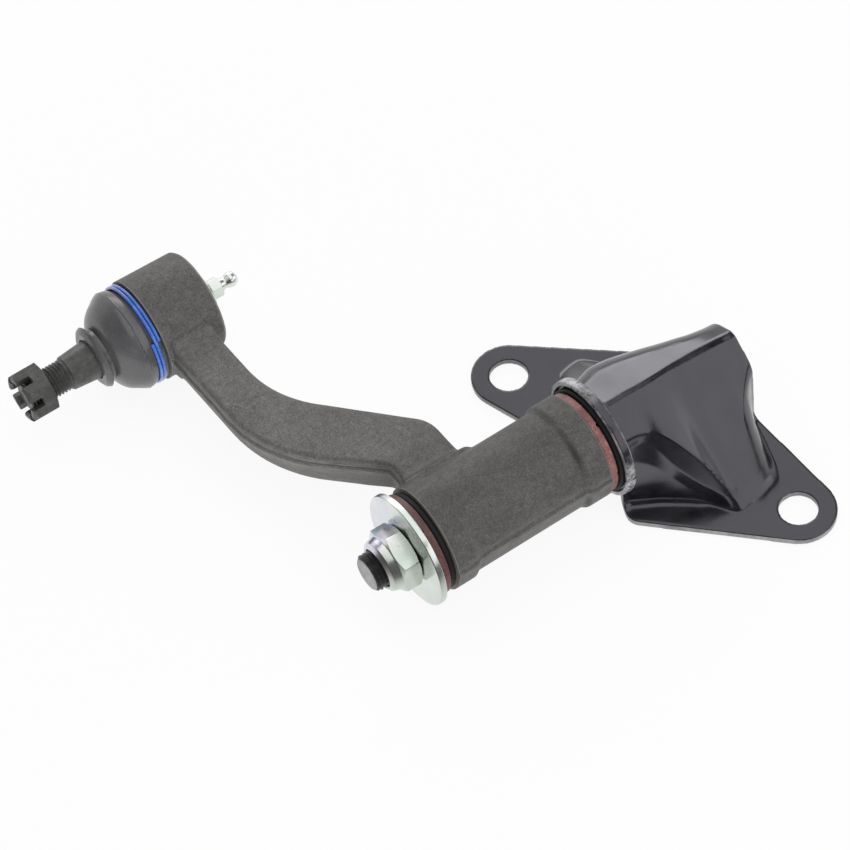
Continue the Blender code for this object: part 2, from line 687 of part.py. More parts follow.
def arm_section(front, rear):
    """One closed cross-section of the arm between its edges: drafted walls, round corners and flash."""
    middle_y = (front.y + rear.y) / 2
    rise = fillet_rise(middle_y - BARREL_RADIUS) + fillet_rise(PIVOT_TO_BALL - HUB_NEAR_RADIUS - middle_y)
    rise = min(rise, ARM_FILLET * 0.7)
    share = min(max((middle_y - ARM_REAR_ROOT) / (ARM_REAR_BEND - ARM_REAR_ROOT), 0.0), 1.0)
    top = ARM_TOP + rise
    bottom = ARM_BOTTOM_AT_BARREL + (ARM_BOTTOM_AT_HUB - ARM_BOTTOM_AT_BARREL) * share + rise
    across = (rear - front).normalized()
    width = (rear - front).length
    edge = ARM_EDGE_ROUNDING
    side = [
        (ARM_DRAFT * top + edge, top),
        (ARM_DRAFT * top + edge * 0.3, top - edge * 0.3),
        (ARM_DRAFT * (top - edge), top - edge),
        (ARM_DRAFT * ARM_FLASH_HALF_WIDTH, ARM_FLASH_HALF_WIDTH),
        (-ARM_FLASH, ARM_FLASH_HALF_WIDTH * 0.4),
        (-ARM_FLASH, -ARM_FLASH_HALF_WIDTH * 0.4),
        (ARM_DRAFT * ARM_FLASH_HALF_WIDTH, -ARM_FLASH_HALF_WIDTH),
        (ARM_DRAFT * (bottom - edge), edge - bottom),
        (ARM_DRAFT * bottom + edge * 0.3, edge * 0.3 - bottom),
        (ARM_DRAFT * bottom + edge, -bottom),
    ]
    outline = [(inset, height) for inset, height in side]
    outline += [(width - inset, height) for inset, height in reversed(side)]
    return [(*(front + across * inset), height) for inset, height in outline]


def arm_loft():
    """The S-shaped arm as a loft of its cross-sections."""
    front, rear = arm_edges()
    front_shares, rear_shares = path_shares(front), path_shares(rear)
    shares = []
    for share in sorted(front_shares + rear_shares):
        if not shares or share - shares[-1] > ARM_LEAST_STEP:
            shares.append(share)
    shares[-1] = 1.0
    bm = bmesh.new()
    rows = []
    for share in shares:
        section = arm_section(point_at(front, front_shares, share), point_at(rear, rear_shares, share))
        rows.append([bm.verts.new(point) for point in section])
    for row, following in zip(rows, rows[1:]):
        for index in range(len(row)):
            after = (index + 1) % len(row)
            bm.faces.new((row[index], row[after], following[after], following[index]))
    bm.faces.new(rows[0])
    bm.faces.new(rows[-1])
    return bm


def parting_ridge():
    """The trimmed flash along the barrel's two sides, in the plane that the dies met in."""
    outline = [(x, -radius) for x, radius in barrel_outline(PARTING_RIDGE_HEIGHT)]
    outline += [(x, radius) for x, radius in reversed(barrel_outline(PARTING_RIDGE_HEIGHT))]
    half = PARTING_RIDGE_WIDTH / 2
    return prism(outline, -half, half)


def make_forging(arm, material):
    """Barrel, S-shaped arm and hub, forged as one piece and bored for the bushings and the ball."""
    outline = barrel_outline()
    barrel = [(outline[0][0], 0.0), *outline, (outline[-1][0], 0.0)]
    forging = add_object("arm_forging", turned(barrel, LARGE_SIDES), arm, material)
    boolean(forging, add_object("arm_body", arm_loft(), arm), "UNION")
    hub = add_object("hub_body", turned(hub_outline(), LARGE_SIDES, PIVOT_TO_BALL), arm)
    boolean(forging, hub, "UNION")
    boolean(forging, add_object("flash_ridge", parting_ridge(), arm), "UNION")

    beyond = BARREL_BAND_RADIUS
    bore = [
        (BARREL_NEAR - beyond, 0.0),
        (BARREL_NEAR - beyond, BARREL_BORE_RADIUS),
        (BARREL_FAR + beyond, BARREL_BORE_RADIUS),
        (BARREL_FAR + beyond, 0.0),
    ]
    boolean(forging, add_object("barrel_bore", turned(bore), arm), "DIFFERENCE")

    mouth = HUB_NEAR - SPIGOT_LENGTH
    flare = (CAVITY_MOUTH_OUTER_RADIUS - CAVITY_MOUTH_RADIUS) / (CAVITY_FLOOR - mouth)
    rim_start = COVER_SEAT + COVER_THICKNESS + 2 * SEAT_GAP
    cavity = [
        (mouth - SEAT_GAP, 0.0),
        (mouth - SEAT_GAP, CAVITY_MOUTH_OUTER_RADIUS + flare * SEAT_GAP),
        (CAVITY_FLOOR, CAVITY_MOUTH_RADIUS),
        (CAVITY_FLOOR, CAVITY_RADIUS),
        (COVER_SEAT, CAVITY_RADIUS),
        (COVER_SEAT, COVER_RADIUS + SEAT_GAP),
        (rim_start, COVER_RADIUS + SEAT_GAP),
        (rim_start, ROLLED_RIM_RADIUS),
        (HUB_FAR + SEAT_GAP, ROLLED_RIM_RADIUS),
        (HUB_FAR + SEAT_GAP, 0.0),
    ]
    cavity_tool = add_object("hub_cavity", turned(cavity, MIDDLE_SIDES, PIVOT_TO_BALL), arm)
    boolean(forging, cavity_tool, "DIFFERENCE")


def make_bushing(name, thrust_face, towards_barrel, arm, material):
    """A flanged bushing pressed into the barrel, with grease grooves across its thrust face."""
    bore = SHAFT_RADIUS + RUNNING_GAP
    sleeve = BARREL_BORE_RADIUS - SEAT_GAP
    flange_back = thrust_face + towards_barrel * BUSH_FLANGE_THICKNESS
    end = thrust_face + towards_barrel * (BUSH_FLANGE_THICKNESS + BUSH_LENGTH)
    edge = BUSH_FLANGE_THICKNESS / 6
    profile = [
        (thrust_face, bore),
        (thrust_face, BUSH_FLANGE_RADIUS - edge),
        (thrust_face + towards_barrel * edge, BUSH_FLANGE_RADIUS),
        (flange_back - towards_barrel * edge, BUSH_FLANGE_RADIUS),
        (flange_back, BUSH_FLANGE_RADIUS - edge),
        (flange_back, sleeve),
        (end, sleeve),
        (end, bore),
    ]
    bushing = add_object(name, turned(profile), arm, material)
    cutter = bmesh.new()
    depth = towards_barrel * BUSH_GROOVE_DEPTH
    low_x, high_x = sorted((thrust_face - depth, thrust_face + depth))
    for groove in range(BUSH_GROOVES):
        add_box(
            cutter,
            (low_x, SHAFT_RADIUS * 1.2, -BUSH_GROOVE_WIDTH / 2),
            (high_x, BUSH_FLANGE_RADIUS * 1.1, BUSH_GROOVE_WIDTH / 2),
            math.radians(BUSH_GROOVE_START) + groove * math.tau / BUSH_GROOVES,
        )
    boolean(bushing, add_object(name + "_grooves", cutter, arm, smooth=False), "DIFFERENCE")


def make_seal(name, start, end, inner, outer, arm, material):
    """A rubber ring with a rounded outer edge."""
    edge = (end - start) / 4
    profile = [
        (start, inner),
        (start, outer - edge),
        (start + edge, outer),
        (end - edge, outer),
        (end, outer - edge),
        (end, inner),
    ]
    add_object(name, turned(profile), arm, material)


def make_pivot_bearings(arm, bushing_material, rubber):
    """Two bushings, each with its dust seal, in the order in which they are stacked on the shaft."""
    near_face = WASHER_FRONT + WASHER_THICKNESS + SEAT_GAP
    make_bushing("pivot_bushing_nut_side", near_face, 1, arm, bushing_material)
    near_back = near_face + BUSH_FLANGE_THICKNESS
    seal_inner = SEAL_RADIUS - SEAL_WALL
    make_seal(
        "dust_seal_nut_side", near_back + SEAT_GAP, BARREL_NEAR - SEAT_GAP, seal_inner, SEAL_RADIUS, arm, rubber
    )
    far_face = BARREL_FAR + SEAT_GAP + BUSH_FLANGE_THICKNESS
    make_bushing("pivot_bushing_bracket_side", far_face, -1, arm, bushing_material)
    cup_floor = COLLAR_FRONT + COLLAR_CUP_DEPTH
    make_seal(
        "dust_seal_bracket_side", far_face + SEAT_GAP, cup_floor - SEAT_GAP,
        SHAFT_RADIUS + SEAT_GAP, COLLAR_RADIUS - COLLAR_CUP_WALL - 2 * SEAT_GAP, arm, rubber,
    )


def make_ball_seats(hub, material):
    """The two cups that hold the ball, one on each side of its middle."""
    pocket = BALL_RADIUS + SEAT_GAP
    outer = CAVITY_RADIUS - SEAT_GAP
    floor = CAVITY_FLOOR + SEAT_GAP
    split_near, split_far = BALL_PLACE - SEAT_PIECE_SPLIT, BALL_PLACE + SEAT_PIECE_SPLIT
    lower = [(floor, outer), (split_near, outer), *arc_profile(BALL_PLACE, pocket, split_near, floor, 5)]
    add_object("lower_ball_seat", turned(lower), hub, material)
    back = BALL_PLACE + BALL_FLAT + SEAT_GAP
    upper = [(split_far, outer), (back, outer), *arc_profile(BALL_PLACE, pocket, back, split_far, 5)]
    add_object("upper_ball_seat", turned(upper), hub, material)
    return back


def make_preload_spring(seat_back, hub, material):
    """The dished spring between the upper seat and the cover."""
    inner, outer = CAVITY_RADIUS * 0.62, CAVITY_RADIUS - SEAT_GAP
    start = seat_back + SEAT_GAP
    profile = [
        (start, outer),
        (start + SPRING_THICKNESS, outer),
        (start + SPRING_THICKNESS + SPRING_RISE, inner),
        (start + SPRING_RISE, inner),
    ]
    add_object("preload_spring", turned(profile, MIDDLE_SIDES), hub, material)


def make_cover(hub, material):
    """The domed plate that the hub's rim is rolled over, with a hole for the nipple."""
    inside = COVER_SEAT + SEAT_GAP
    outside = inside + COVER_THICKNESS
    dome_outside = outside + COVER_DOME_HEIGHT
    hole = NIPPLE_SHANK_RADIUS + SEAT_GAP
    wall = COVER_THICKNESS
    profile = [
        (inside, COVER_RADIUS),
        (outside, COVER_RADIUS),
        (outside, COVER_DOME_RADIUS),
        (outside + COVER_DOME_HEIGHT * 0.45, COVER_DOME_RADIUS * 0.86),
        (dome_outside, COVER_DOME_TOP_RADIUS),
        (dome_outside, hole),
        (dome_outside - wall, hole),
        (dome_outside - wall, COVER_DOME_TOP_RADIUS - wall * 0.3),
        (inside + COVER_DOME_HEIGHT * 0.42, COVER_DOME_RADIUS * 0.86 - wall * 0.8),
        (inside, COVER_DOME_RADIUS - wall * 0.8),
    ]
    add_object("hub_cover", turned(profile), hub, material)
    return dome_outside


def make_nipple(seat, hub, material, ball_material):
    """The grease nipple on the cover, with its check ball and spring inside."""
    hex_start = seat + SEAT_GAP
    hex_end = hex_start + NIPPLE_HEX_HEIGHT
    tip = hex_start + NIPPLE_LENGTH
    shank_end = seat - COVER_DOME_HEIGHT
    neck = hex_end + (tip - hex_end) * 0.28
    head = neck + (tip - neck) * 0.42
    nipple = add_object(
        "grease_nipple", hexagon_prism(NIPPLE_FLATS, hex_start, hex_end, NIPPLE_TURN), hub, material
    )
    corner = NIPPLE_FLATS / 2 / math.cos(math.pi / 6)
    chamfer = corner - NIPPLE_FLATS / 2
    envelope = [
        (hex_start, 0.0),
        (hex_start, corner - chamfer / 2),
        (hex_start + chamfer, corner * CORNER_ROOM),
        (hex_end - chamfer, corner * CORNER_ROOM),
        (hex_end, corner - chamfer),
        (hex_end, 0.0),
    ]
    boolean(nipple, add_object("nipple_hex_envelope", turned(envelope, SMALL_SIDES), hub), "INTERSECT")
    body = [
        (shank_end, 0.0),
        (shank_end, NIPPLE_SHANK_RADIUS),
        (hex_start + chamfer, NIPPLE_SHANK_RADIUS),
        (hex_end, NIPPLE_NECK_RADIUS * 1.35),
        (neck, NIPPLE_NECK_RADIUS),
        (head - NIPPLE_HEAD_RADIUS * 0.35, NIPPLE_HEAD_RADIUS * 0.93),
        (head, NIPPLE_HEAD_RADIUS),
        (head + (tip - head) * 0.55, NIPPLE_HEAD_RADIUS * 0.86),
        (tip, NIPPLE_HEAD_RADIUS * 0.5),
        (tip, 0.0),
    ]
    boolean(nipple, add_object("nipple_body", turned(body, SMALL_SIDES), hub), "UNION")
    stop = tip - NIPPLE_BALL_RADIUS * 0.9
    passage = [
        (shank_end - SEAT_GAP, 0.0),
        (shank_end - SEAT_GAP, NIPPLE_BORE_RADIUS),
        (stop - NIPPLE_BALL_RADIUS, NIPPLE_BORE_RADIUS),
        (stop, NIPPLE_MOUTH_RADIUS),
        (tip + SEAT_GAP, NIPPLE_MOUTH_RADIUS),
        (tip + SEAT_GAP, 0.0),
    ]
    boolean(nipple, add_object("nipple_passage", turned(passage, SMALL_SIDES), hub), "DIFFERENCE")

    ball_place = stop - NIPPLE_BALL_RADIUS - SEAT_GAP
    ball = arc_profile(ball_place, NIPPLE_BALL_RADIUS, ball_place - NIPPLE_BALL_RADIUS,
                       ball_place + NIPPLE_BALL_RADIUS, 6)
    ball[0] = (ball[0][0], 0.0)
    ball[-1] = (ball[-1][0], 0.0)
    add_object("nipple_check_ball", turned(ball, 12), hub, ball_material)
    spring_end = ball_place - NIPPLE_BALL_RADIUS - SEAT_GAP
    coil_radius = NIPPLE_BORE_RADIUS - NIPPLE_SPRING_WIRE - SEAT_GAP / 2
    make_coil(
        "nipple_spring", shank_end + NIPPLE_SPRING_WIRE, spring_end - NIPPLE_SPRING_WIRE, coil_radius,
        NIPPLE_SPRING_WIRE, NIPPLE_SPRING_TURNS, 0.0, 10, 0, hub, ball_material,
    )


def make_coil(name, start, end, radius, wire, turns, end_angle, steps_per_turn, resolution, parent, material):
    """A round wire wound about the X axis, as a bevelled curve with filled caps."""
    curve = bpy.data.curves.new(name, "CURVE")
    curve.dimensions = "3D"
    curve.bevel_depth = wire
    curve.bevel_resolution = resolution
    curve.use_fill_caps = True
    count = round(turns * steps_per_turn) + 1
    spline = curve.splines.new("POLY")
    spline.points.add(count - 1)
    for index, point in enumerate(spline.points):
        share = index / (count - 1)
        turn = math.radians(end_angle) + share * turns * math.tau
        point.co = (start + (end - start) * share, radius * math.cos(turn), radius * math.sin(turn), 1.0)
    curve.materials.append(material)
    coil = bpy.data.objects.new(name, curve)
    coil.parent = parent
    bpy.context.scene.collection.objects.link(coil)
    return coil


def make_boot(hub, material):
    """The dust boot: a bulging rubber shell from the hub's spigot to its neck on the stud."""
    start = HUB_NEAR - SEAT_GAP
    ring_near, ring_far = start - BOOT_EDGE_LIP, HUB_NEAR - SPIGOT_LENGTH
    neck = HUB_NEAR - SPIGOT_LENGTH + BOOT_NECK
    length = ring_far - neck
    grip = SPIGOT_RADIUS + SEAT_GAP
    stud = STUD_SHOULDER_RADIUS + SEAT_GAP
    outside = [
        (start, BOOT_BULGE_RADIUS * 0.96),
        (ring_near, BOOT_RING_SEAT_RADIUS),
        (ring_far + BOOT_EDGE_LIP / 2, BOOT_RING_SEAT_RADIUS),
        *((ring_far - length * share, BOOT_BULGE_RADIUS * wide) for share, wide in BOOT_OUTSIDE),
        (neck, BOOT_NECK_RADIUS),
        (neck - BOOT_WALL, BOOT_NECK_RADIUS * 0.98),
    ]
    inside = [
        (neck - BOOT_WALL, stud),
        (neck, stud),
        *((ring_far - length * share, BOOT_BULGE_RADIUS * wide) for share, wide in reversed(BOOT_INSIDE)),
        (ring_far - SEAT_GAP, grip),
        (start, grip),
    ]
    add_object("dust_boot", turned(outside + inside), hub, material)
    wire_radius = BOOT_RING_SEAT_RADIUS + SEAT_GAP / 2 + CLAMP_WIRE_RADIUS
    middle = (ring_near + ring_far) / 2
    half = CLAMP_WIRE_PITCH * CLAMP_WIRE_TURNS / 2
    return middle - half, middle + half, wire_radius


def make_ball_stud(stud, material):
    """Ball, neck, taper and thread turned as one piece, with the split pin's hole."""
    neck_start = -math.sqrt(BALL_RADIUS ** 2 - STUD_NECK_RADIUS ** 2)
    ball = arc_profile(0.0, BALL_RADIUS, BALL_FLAT, neck_start, 10)
    profile = [
        (BALL_FLAT, 0.0),
        *ball,
        (neck_start * 1.25, STUD_NECK_RADIUS),
        (STUD_SHOULDER, STUD_SHOULDER_RADIUS),
        (STUD_TAPER_START, STUD_SHOULDER_RADIUS),
        (STUD_TAPER_END, STUD_TAPER_END_RADIUS),
        (STUD_TAPER_END - STUD_END_CHAMFER / 2, STUD_THREAD_RADIUS),
        (STUD_END + STUD_END_CHAMFER, STUD_THREAD_RADIUS),
        (STUD_END, STUD_THREAD_RADIUS - STUD_END_CHAMFER),
        (STUD_END, 0.0),
    ]
    made = add_object("ball_stud", turned(profile), stud, material)
    drill = bmesh.new()
    place = Matrix.Translation((SPLIT_PIN_HOLE_PLACE, 0.0, 0.0))
    turn = Matrix.Rotation(math.radians(CASTLE_NUT_TURN), 4, "X")
    bmesh.ops.create_cone(
        drill, cap_ends=True, segments=12, radius1=SPLIT_PIN_HOLE_RADIUS, radius2=SPLIT_PIN_HOLE_RADIUS,
        depth=4 * STUD_THREAD_RADIUS, matrix=place @ turn,
    )
    boolean(made, add_object("split_pin_hole", drill, stud), "DIFFERENCE")


def make_castle_nut(stud, material):
    """A slotted hexagon nut, screwed part of the way on."""
    base, end = CASTLE_NUT_BASE, CASTLE_NUT_BASE - CASTLE_NUT_HEIGHT
    flat = CASTLE_NUT_FLATS / 2
    corner = flat / math.cos(math.pi / 6)
    chamfer = (corner - flat) * 0.8
    nut = add_object("castle_nut", hexagon_prism(CASTLE_NUT_FLATS, base, end, CASTLE_NUT_TURN), stud, material)
    envelope = [
        (end, 0.0),
        (end, flat * 0.97),
        (end + chamfer, corner * CORNER_ROOM),
        (base - chamfer * 0.6, corner * CORNER_ROOM),
        (base, flat * 0.98),
        (base, 0.0),
    ]
    boolean(nut, add_object("castle_nut_envelope", turned(envelope), stud), "INTERSECT")
    slots = bmesh.new()
    for slot in range(6):
        turn = math.radians(CASTLE_NUT_TURN + 30.0) + slot * math.pi / 3
        add_box(
            slots,
            (end - chamfer, STUD_THREAD_RADIUS * 0.85, -CASTLE_SLOT_WIDTH / 2),
            (end + CASTLE_SLOT_DEPTH, corner * 1.2, CASTLE_SLOT_WIDTH / 2),
            turn,
        )
    boolean(nut, add_object("castle_nut_slots", slots, stud, smooth=False), "DIFFERENCE")
    bore = STUD_THREAD_RADIUS + SEAT_GAP
    drill = [
        (end - chamfer, 0.0),
        (end - chamfer, bore + chamfer),
        (end + chamfer / 2, bore),
        (base + chamfer, bore),
        (base + chamfer, 0.0),
    ]
    boolean(nut, add_object("castle_nut_bore", turned(drill), stud), "DIFFERENCE")


def make_lip_ring(tilt, material):
    """The flared ring at the boot's small end, which grips the stud and tilts with it."""
    near, far = LIP_RING_PLACE + LIP_RING_THICKNESS, LIP_RING_PLACE
    bore = STUD_SHOULDER_RADIUS + SEAT_GAP
    profile = [
        (far, bore),
        (far, LIP_RING_RADIUS - LIP_RING_THICKNESS * 0.9),
        (far + LIP_RING_THICKNESS * 0.35, LIP_RING_RADIUS - LIP_RING_THICKNESS * 0.3),
        (far + LIP_RING_THICKNESS * 0.75, LIP_RING_RADIUS),
        (near, LIP_RING_RADIUS * 0.99),
        (near - LIP_RING_THICKNESS * 0.3, LIP_RING_RADIUS * 0.84),
        (near - LIP_RING_THICKNESS * 0.25, bore),
    ]
    add_object("boot_lip_ring", turned(profile), tilt, material)


def centre_on_ground(frame):
    """Moves the whole part so that the middle of its footprint is at the origin."""
    bpy.context.view_layer.update()
    graph = bpy.context.evaluated_depsgraph_get()
    corners = []
    for obj in bpy.context.scene.objects:
        if obj.type in ("MESH", "CURVE") and not obj.hide_render:
            evaluated = obj.evaluated_get(graph)
            mesh = evaluated.to_mesh()
            corners += [obj.matrix_world @ vertex.co for vertex in mesh.vertices]
            evaluated.to_mesh_clear()
    middle = [
        (min(corner[axis] for corner in corners) + max(corner[axis] for corner in corners)) / 2
        for axis in range(2)
    ]
    frame.location = (-middle[0], -middle[1], -min(corner.z for corner in corners))
    bpy.context.view_layer.update()


def build():
    clear_scene()
    forged = make_material("forged_steel", (0.105, 0.100, 0.095), 0.62, 0.35)
    painted = make_material("black_paint", (0.045, 0.045, 0.052), 0.28)
    zinc = make_material("zinc_plate", (0.78, 0.80, 0.78), 0.24, 0.95)
    blackened = make_material("blackened_steel", (0.05, 0.05, 0.05), 0.42, 0.6)
    phosphated = make_material("phosphated_steel", (0.11, 0.11, 0.11), 0.52, 0.45)
    bushing_red = make_material("bushing_resin", (0.19, 0.065, 0.055), 0.5)
    rubber = make_material("black_rubber", (0.045, 0.044, 0.046), 0.6)
    blue = make_material("blue_spring_wire", (0.09, 0.24, 0.72), 0.3)
    seat_plastic = make_material("seat_plastic", (0.75, 0.73, 0.68), 0.4)
    bright = make_material("bright_steel", (0.7, 0.7, 0.7), 0.2, 1.0)

    frame = make_empty("part_frame")
    pivot = make_empty("pivot_axis", frame, (0.0, 0.0, PIVOT_Z))
    arm = make_empty("arm_swing_axis", pivot, turn_x=REST_ANGLE)
    hub = make_empty("hub_axis", arm, (0.0, PIVOT_TO_BALL, 0.0))
    tilt = make_empty("stud_tilt_axis", hub, (BALL_PLACE, 0.0, 0.0))
    spin = make_empty("stud_spin_axis", tilt)

    bracket = make_bracket(frame, painted)
    make_collar_clearance(bracket, pivot)
    make_shaft(pivot, blackened)
    make_collar(pivot, painted)
    make_washer(pivot, zinc)
    make_pivot_nut(pivot, zinc)

    make_forging(arm, forged)
    make_pivot_bearings(arm, bushing_red, rubber)

    seat_back = make_ball_seats(hub, seat_plastic)
    make_preload_spring(seat_back, hub, bright)
    dome_top = make_cover(hub, zinc)
    make_nipple(dome_top, hub, zinc, bright)
    wire_start, wire_end, wire_radius = make_boot(hub, rubber)
    make_coil(
        "boot_clamp_wire", wire_start, wire_end, wire_radius, CLAMP_WIRE_RADIUS, CLAMP_WIRE_TURNS,
        CLAMP_WIRE_END_ANGLE, CLAMP_WIRE_SIDES_PER_TURN, 1, hub, blue,
    )

    make_lip_ring(tilt, rubber)
    make_ball_stud(spin, phosphated)
    make_castle_nut(spin, phosphated)
    centre_on_ground(frame)


build()
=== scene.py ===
import json
import math

import bmesh
import bpy
from mathutils import Matrix, Vector
from mathutils.bvhtree import BVHTree


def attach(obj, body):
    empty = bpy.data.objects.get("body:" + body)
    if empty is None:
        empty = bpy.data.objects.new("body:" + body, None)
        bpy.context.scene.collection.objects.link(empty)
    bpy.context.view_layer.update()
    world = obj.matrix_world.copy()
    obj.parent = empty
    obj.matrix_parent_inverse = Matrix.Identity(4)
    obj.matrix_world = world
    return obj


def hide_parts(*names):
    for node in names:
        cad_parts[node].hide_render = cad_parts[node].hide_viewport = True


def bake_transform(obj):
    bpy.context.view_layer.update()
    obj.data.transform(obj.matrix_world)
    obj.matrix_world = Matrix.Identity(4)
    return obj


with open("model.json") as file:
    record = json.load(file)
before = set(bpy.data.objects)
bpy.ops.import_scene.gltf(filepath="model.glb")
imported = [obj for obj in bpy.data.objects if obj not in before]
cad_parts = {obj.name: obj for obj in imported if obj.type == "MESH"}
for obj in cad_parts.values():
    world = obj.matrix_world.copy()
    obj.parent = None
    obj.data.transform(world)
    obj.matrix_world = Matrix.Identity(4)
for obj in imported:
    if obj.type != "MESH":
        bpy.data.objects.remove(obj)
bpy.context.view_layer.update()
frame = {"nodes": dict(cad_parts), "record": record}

# The part's own measures. Places along X are taken from the collar ring on the pivot shaft
SHIFT = Vector((0.0418, -0.045476, 0.0))
SEAT_GAP = 0.0003
RUNNING_GAP = 0.0001
SHEET = 0.0028
HOLE_RADIUS = 0.00685
LOBE_RADIUS = 0.0135
HOLE_LEFT = (0.0033, 0.0538)
HOLE_RIGHT = (0.0487, -0.0536)
REAR_EDGE = 0.0618
REAR_CORNER = (REAR_EDGE - 0.0015, 0.0215)
FRONT_CORNER = (-0.0007, -0.0225)
FRONT_NOTCH = (0.0030, -0.0100)
FRONT_NOTCH_LEFT = (0.0034, 0.0090)
PLATE_MARGIN = 0.0060
PIVOT_Z = 0.0257
PIVOT_TO_BALL = 0.1385
HUB_NEAR, HUB_FAR = -0.0953, -0.0712
HUB_NEAR_RADIUS, HUB_FAR_RADIUS = 0.0197, 0.0191
SPIGOT_LENGTH, SPIGOT_RADIUS = 0.0042, 0.0165
COVER_SEAT = -0.0753
BARREL_NEAR, BARREL_FAR = -0.0692, -0.0052
BARREL_RADIUS, BARREL_BAND_RADIUS, BARREL_BORE_RADIUS = 0.0184, 0.0197, 0.0136
BUSH_FLANGE_RADIUS, BUSH_FLANGE_THICKNESS, BUSH_LENGTH = 0.0190, 0.0029, 0.0240
SHAFT_RADIUS, SHAFT_END, SHAFT_TAIL_RADIUS, SHAFT_TAIL = 0.0100, -0.0935, 0.0084, 0.0440
PIVOT_THREAD_RADIUS, STUD_THREAD_RADIUS = 0.0070, 0.0059
COLLAR_RADIUS, COLLAR_FRONT, COLLAR_THICKNESS = 0.0226, -0.0007, 0.0039
COLLAR_CUP_DEPTH, COLLAR_CUP_WALL = 0.0016, 0.0021
WASHER_RADIUS, WASHER_FRONT, WASHER_THICKNESS = 0.0212, -0.0776, 0.0024
PIVOT_NUT_FLATS, STUD_NUT_FLATS = 0.0210, 0.0180
BALL_PLACE, BALL_RADIUS, STUD_NECK_RADIUS = -0.0870, 0.0120, 0.0055
BOOT_BULGE, BOOT_REACH, BOOT_WAIST, BOOT_NECK_BORE = 0.0191, 0.0174, 0.0179, 0.0077
THREAD_SIDES = 56
REST_ANGLE = math.asin((HUB_NEAR_RADIUS - PIVOT_Z) / PIVOT_TO_BALL)

PIVOT_AXIS = (SHIFT.y, PIVOT_Z)
HUB_AXIS = (SHIFT.y + PIVOT_TO_BALL * math.cos(REST_ANGLE), HUB_NEAR_RADIUS)

PLATE_FRAME = Matrix.Translation(SHIFT)
PIVOT_FRAME = Matrix.Translation(SHIFT + Vector((0.0, 0.0, PIVOT_Z)))
ARM_FRAME = PIVOT_FRAME @ Matrix.Rotation(REST_ANGLE, 4, "X")
HUB_FRAME = ARM_FRAME @ Matrix.Translation((0.0, PIVOT_TO_BALL, 0.0))
STUD_FRAME = HUB_FRAME @ Matrix.Translation((BALL_PLACE, 0.0, 0.0))

# The hump's cross-sections in millimetres: a place along the shaft, then eight corners from the foot beside
# the right hole, over the roof's crease, to the foot on the left. The dart and the near foot behind it
# differ a little from the part's source
HUMP_SECTIONS = (
    (3.4, (-16.8, 0.0), (-16.6, 24.0), (-15.4, 29.0), (-14.6, 32.8),
     (-4.0, 43.0), (16.6, 37.2), (17.7, 19.0), (17.2, 0.0)),
    (9.0, (-20.2, 0.0), (-19.0, 21.1), (-15.2, 28.3), (-14.6, 31.9),
     (-3.8, 42.3), (17.3, 37.3), (21.6, 16.0), (26.0, 0.0)),
    (12.8, (-22.6, 0.0), (-21.2, 17.5), (-16.6, 27.2), (-14.6, 31.2),
     (-3.6, 41.9), (17.7, 37.3), (24.2, 14.0), (32.0, 0.0)),
    (18.0, (-27.1, 0.0), (-24.7, 10.3), (-24.3, 17.8), (-18.6, 29.0),
     (-3.3, 41.2), (17.5, 36.8), (25.2, 12.0), (42.5, 0.0)),
    (25.6, (-33.8, 0.0), (-33.4, 3.6), (-33.0, 8.8), (-28.1, 19.6),
     (-2.8, 40.3), (16.3, 36.0), (24.2, 10.0), (44.0, 0.0)),
    (33.0, (-43.6, 0.0), (-41.6, 1.8), (-39.7, 4.0), (-37.6, 6.6),
     (-2.3, 39.4), (14.7, 35.5), (21.2, 9.0), (37.0, 0.0)),
    (37.5, (-43.6, 0.0), (-38.6, 4.8), (-34.2, 9.3), (-29.0, 14.6),
     (-2.1, 38.8), (13.7, 35.0), (18.8, 9.0), (30.5, 0.0)),
    (44.0, (-41.8, 0.0), (-37.0, 4.8), (-32.2, 9.8), (-26.2, 16.0),
     (-1.8, 38.0), (12.3, 34.3), (16.0, 9.0), (23.0, 0.0)),
    (49.5, (-38.5, 0.0), (-33.2, 5.6), (-28.2, 11.6), (-21.5, 20.0),
     (-1.6, 37.3), (11.1, 33.3), (14.3, 10.0), (17.8, 0.0)),
    (53.0, (-33.2, 0.0), (-28.4, 5.6), (-24.0, 11.8), (-17.3, 22.8),
     (-1.5, 36.8), (10.8, 32.5), (13.9, 12.0), (15.8, 0.0)),
    (56.0, (-25.0, 0.0), (-21.2, 4.4), (-18.6, 10.0), (-15.0, 24.3),
     (-1.4, 36.4), (10.7, 31.7), (13.7, 14.0), (14.6, 0.0)),
    (59.0, (-14.8, 0.0), (-14.4, 5.5), (-14.0, 12.0), (-13.0, 25.6),
     (-1.4, 36.2), (10.8, 30.7), (13.6, 16.0), (13.9, 0.0)),
    (61.8, (-12.5, 0.0), (-12.4, 6.8), (-12.2, 14.0), (-11.4, 26.0),
     (-1.4, 36.0), (11.0, 29.9), (13.4, 18.0), (13.6, 0.0)),
)
HUMP_PLACES = [section[0] / 1000.0 for section in HUMP_SECTIONS]
HUMP_ROUNDINGS_FRONT = (0.0035, 0.0020, 0.0022, 0.0045, 0.0032, 0.0130, 0.0100, 0.0040)
HUMP_ROUNDINGS_REAR = (0.0140, 0.0120, 0.0120, 0.0080, 0.0040, 0.0110, 0.0100, 0.0040)
HUMP_ROUNDINGS_CHANGE = (0.0290, 0.0420)


# Node trees

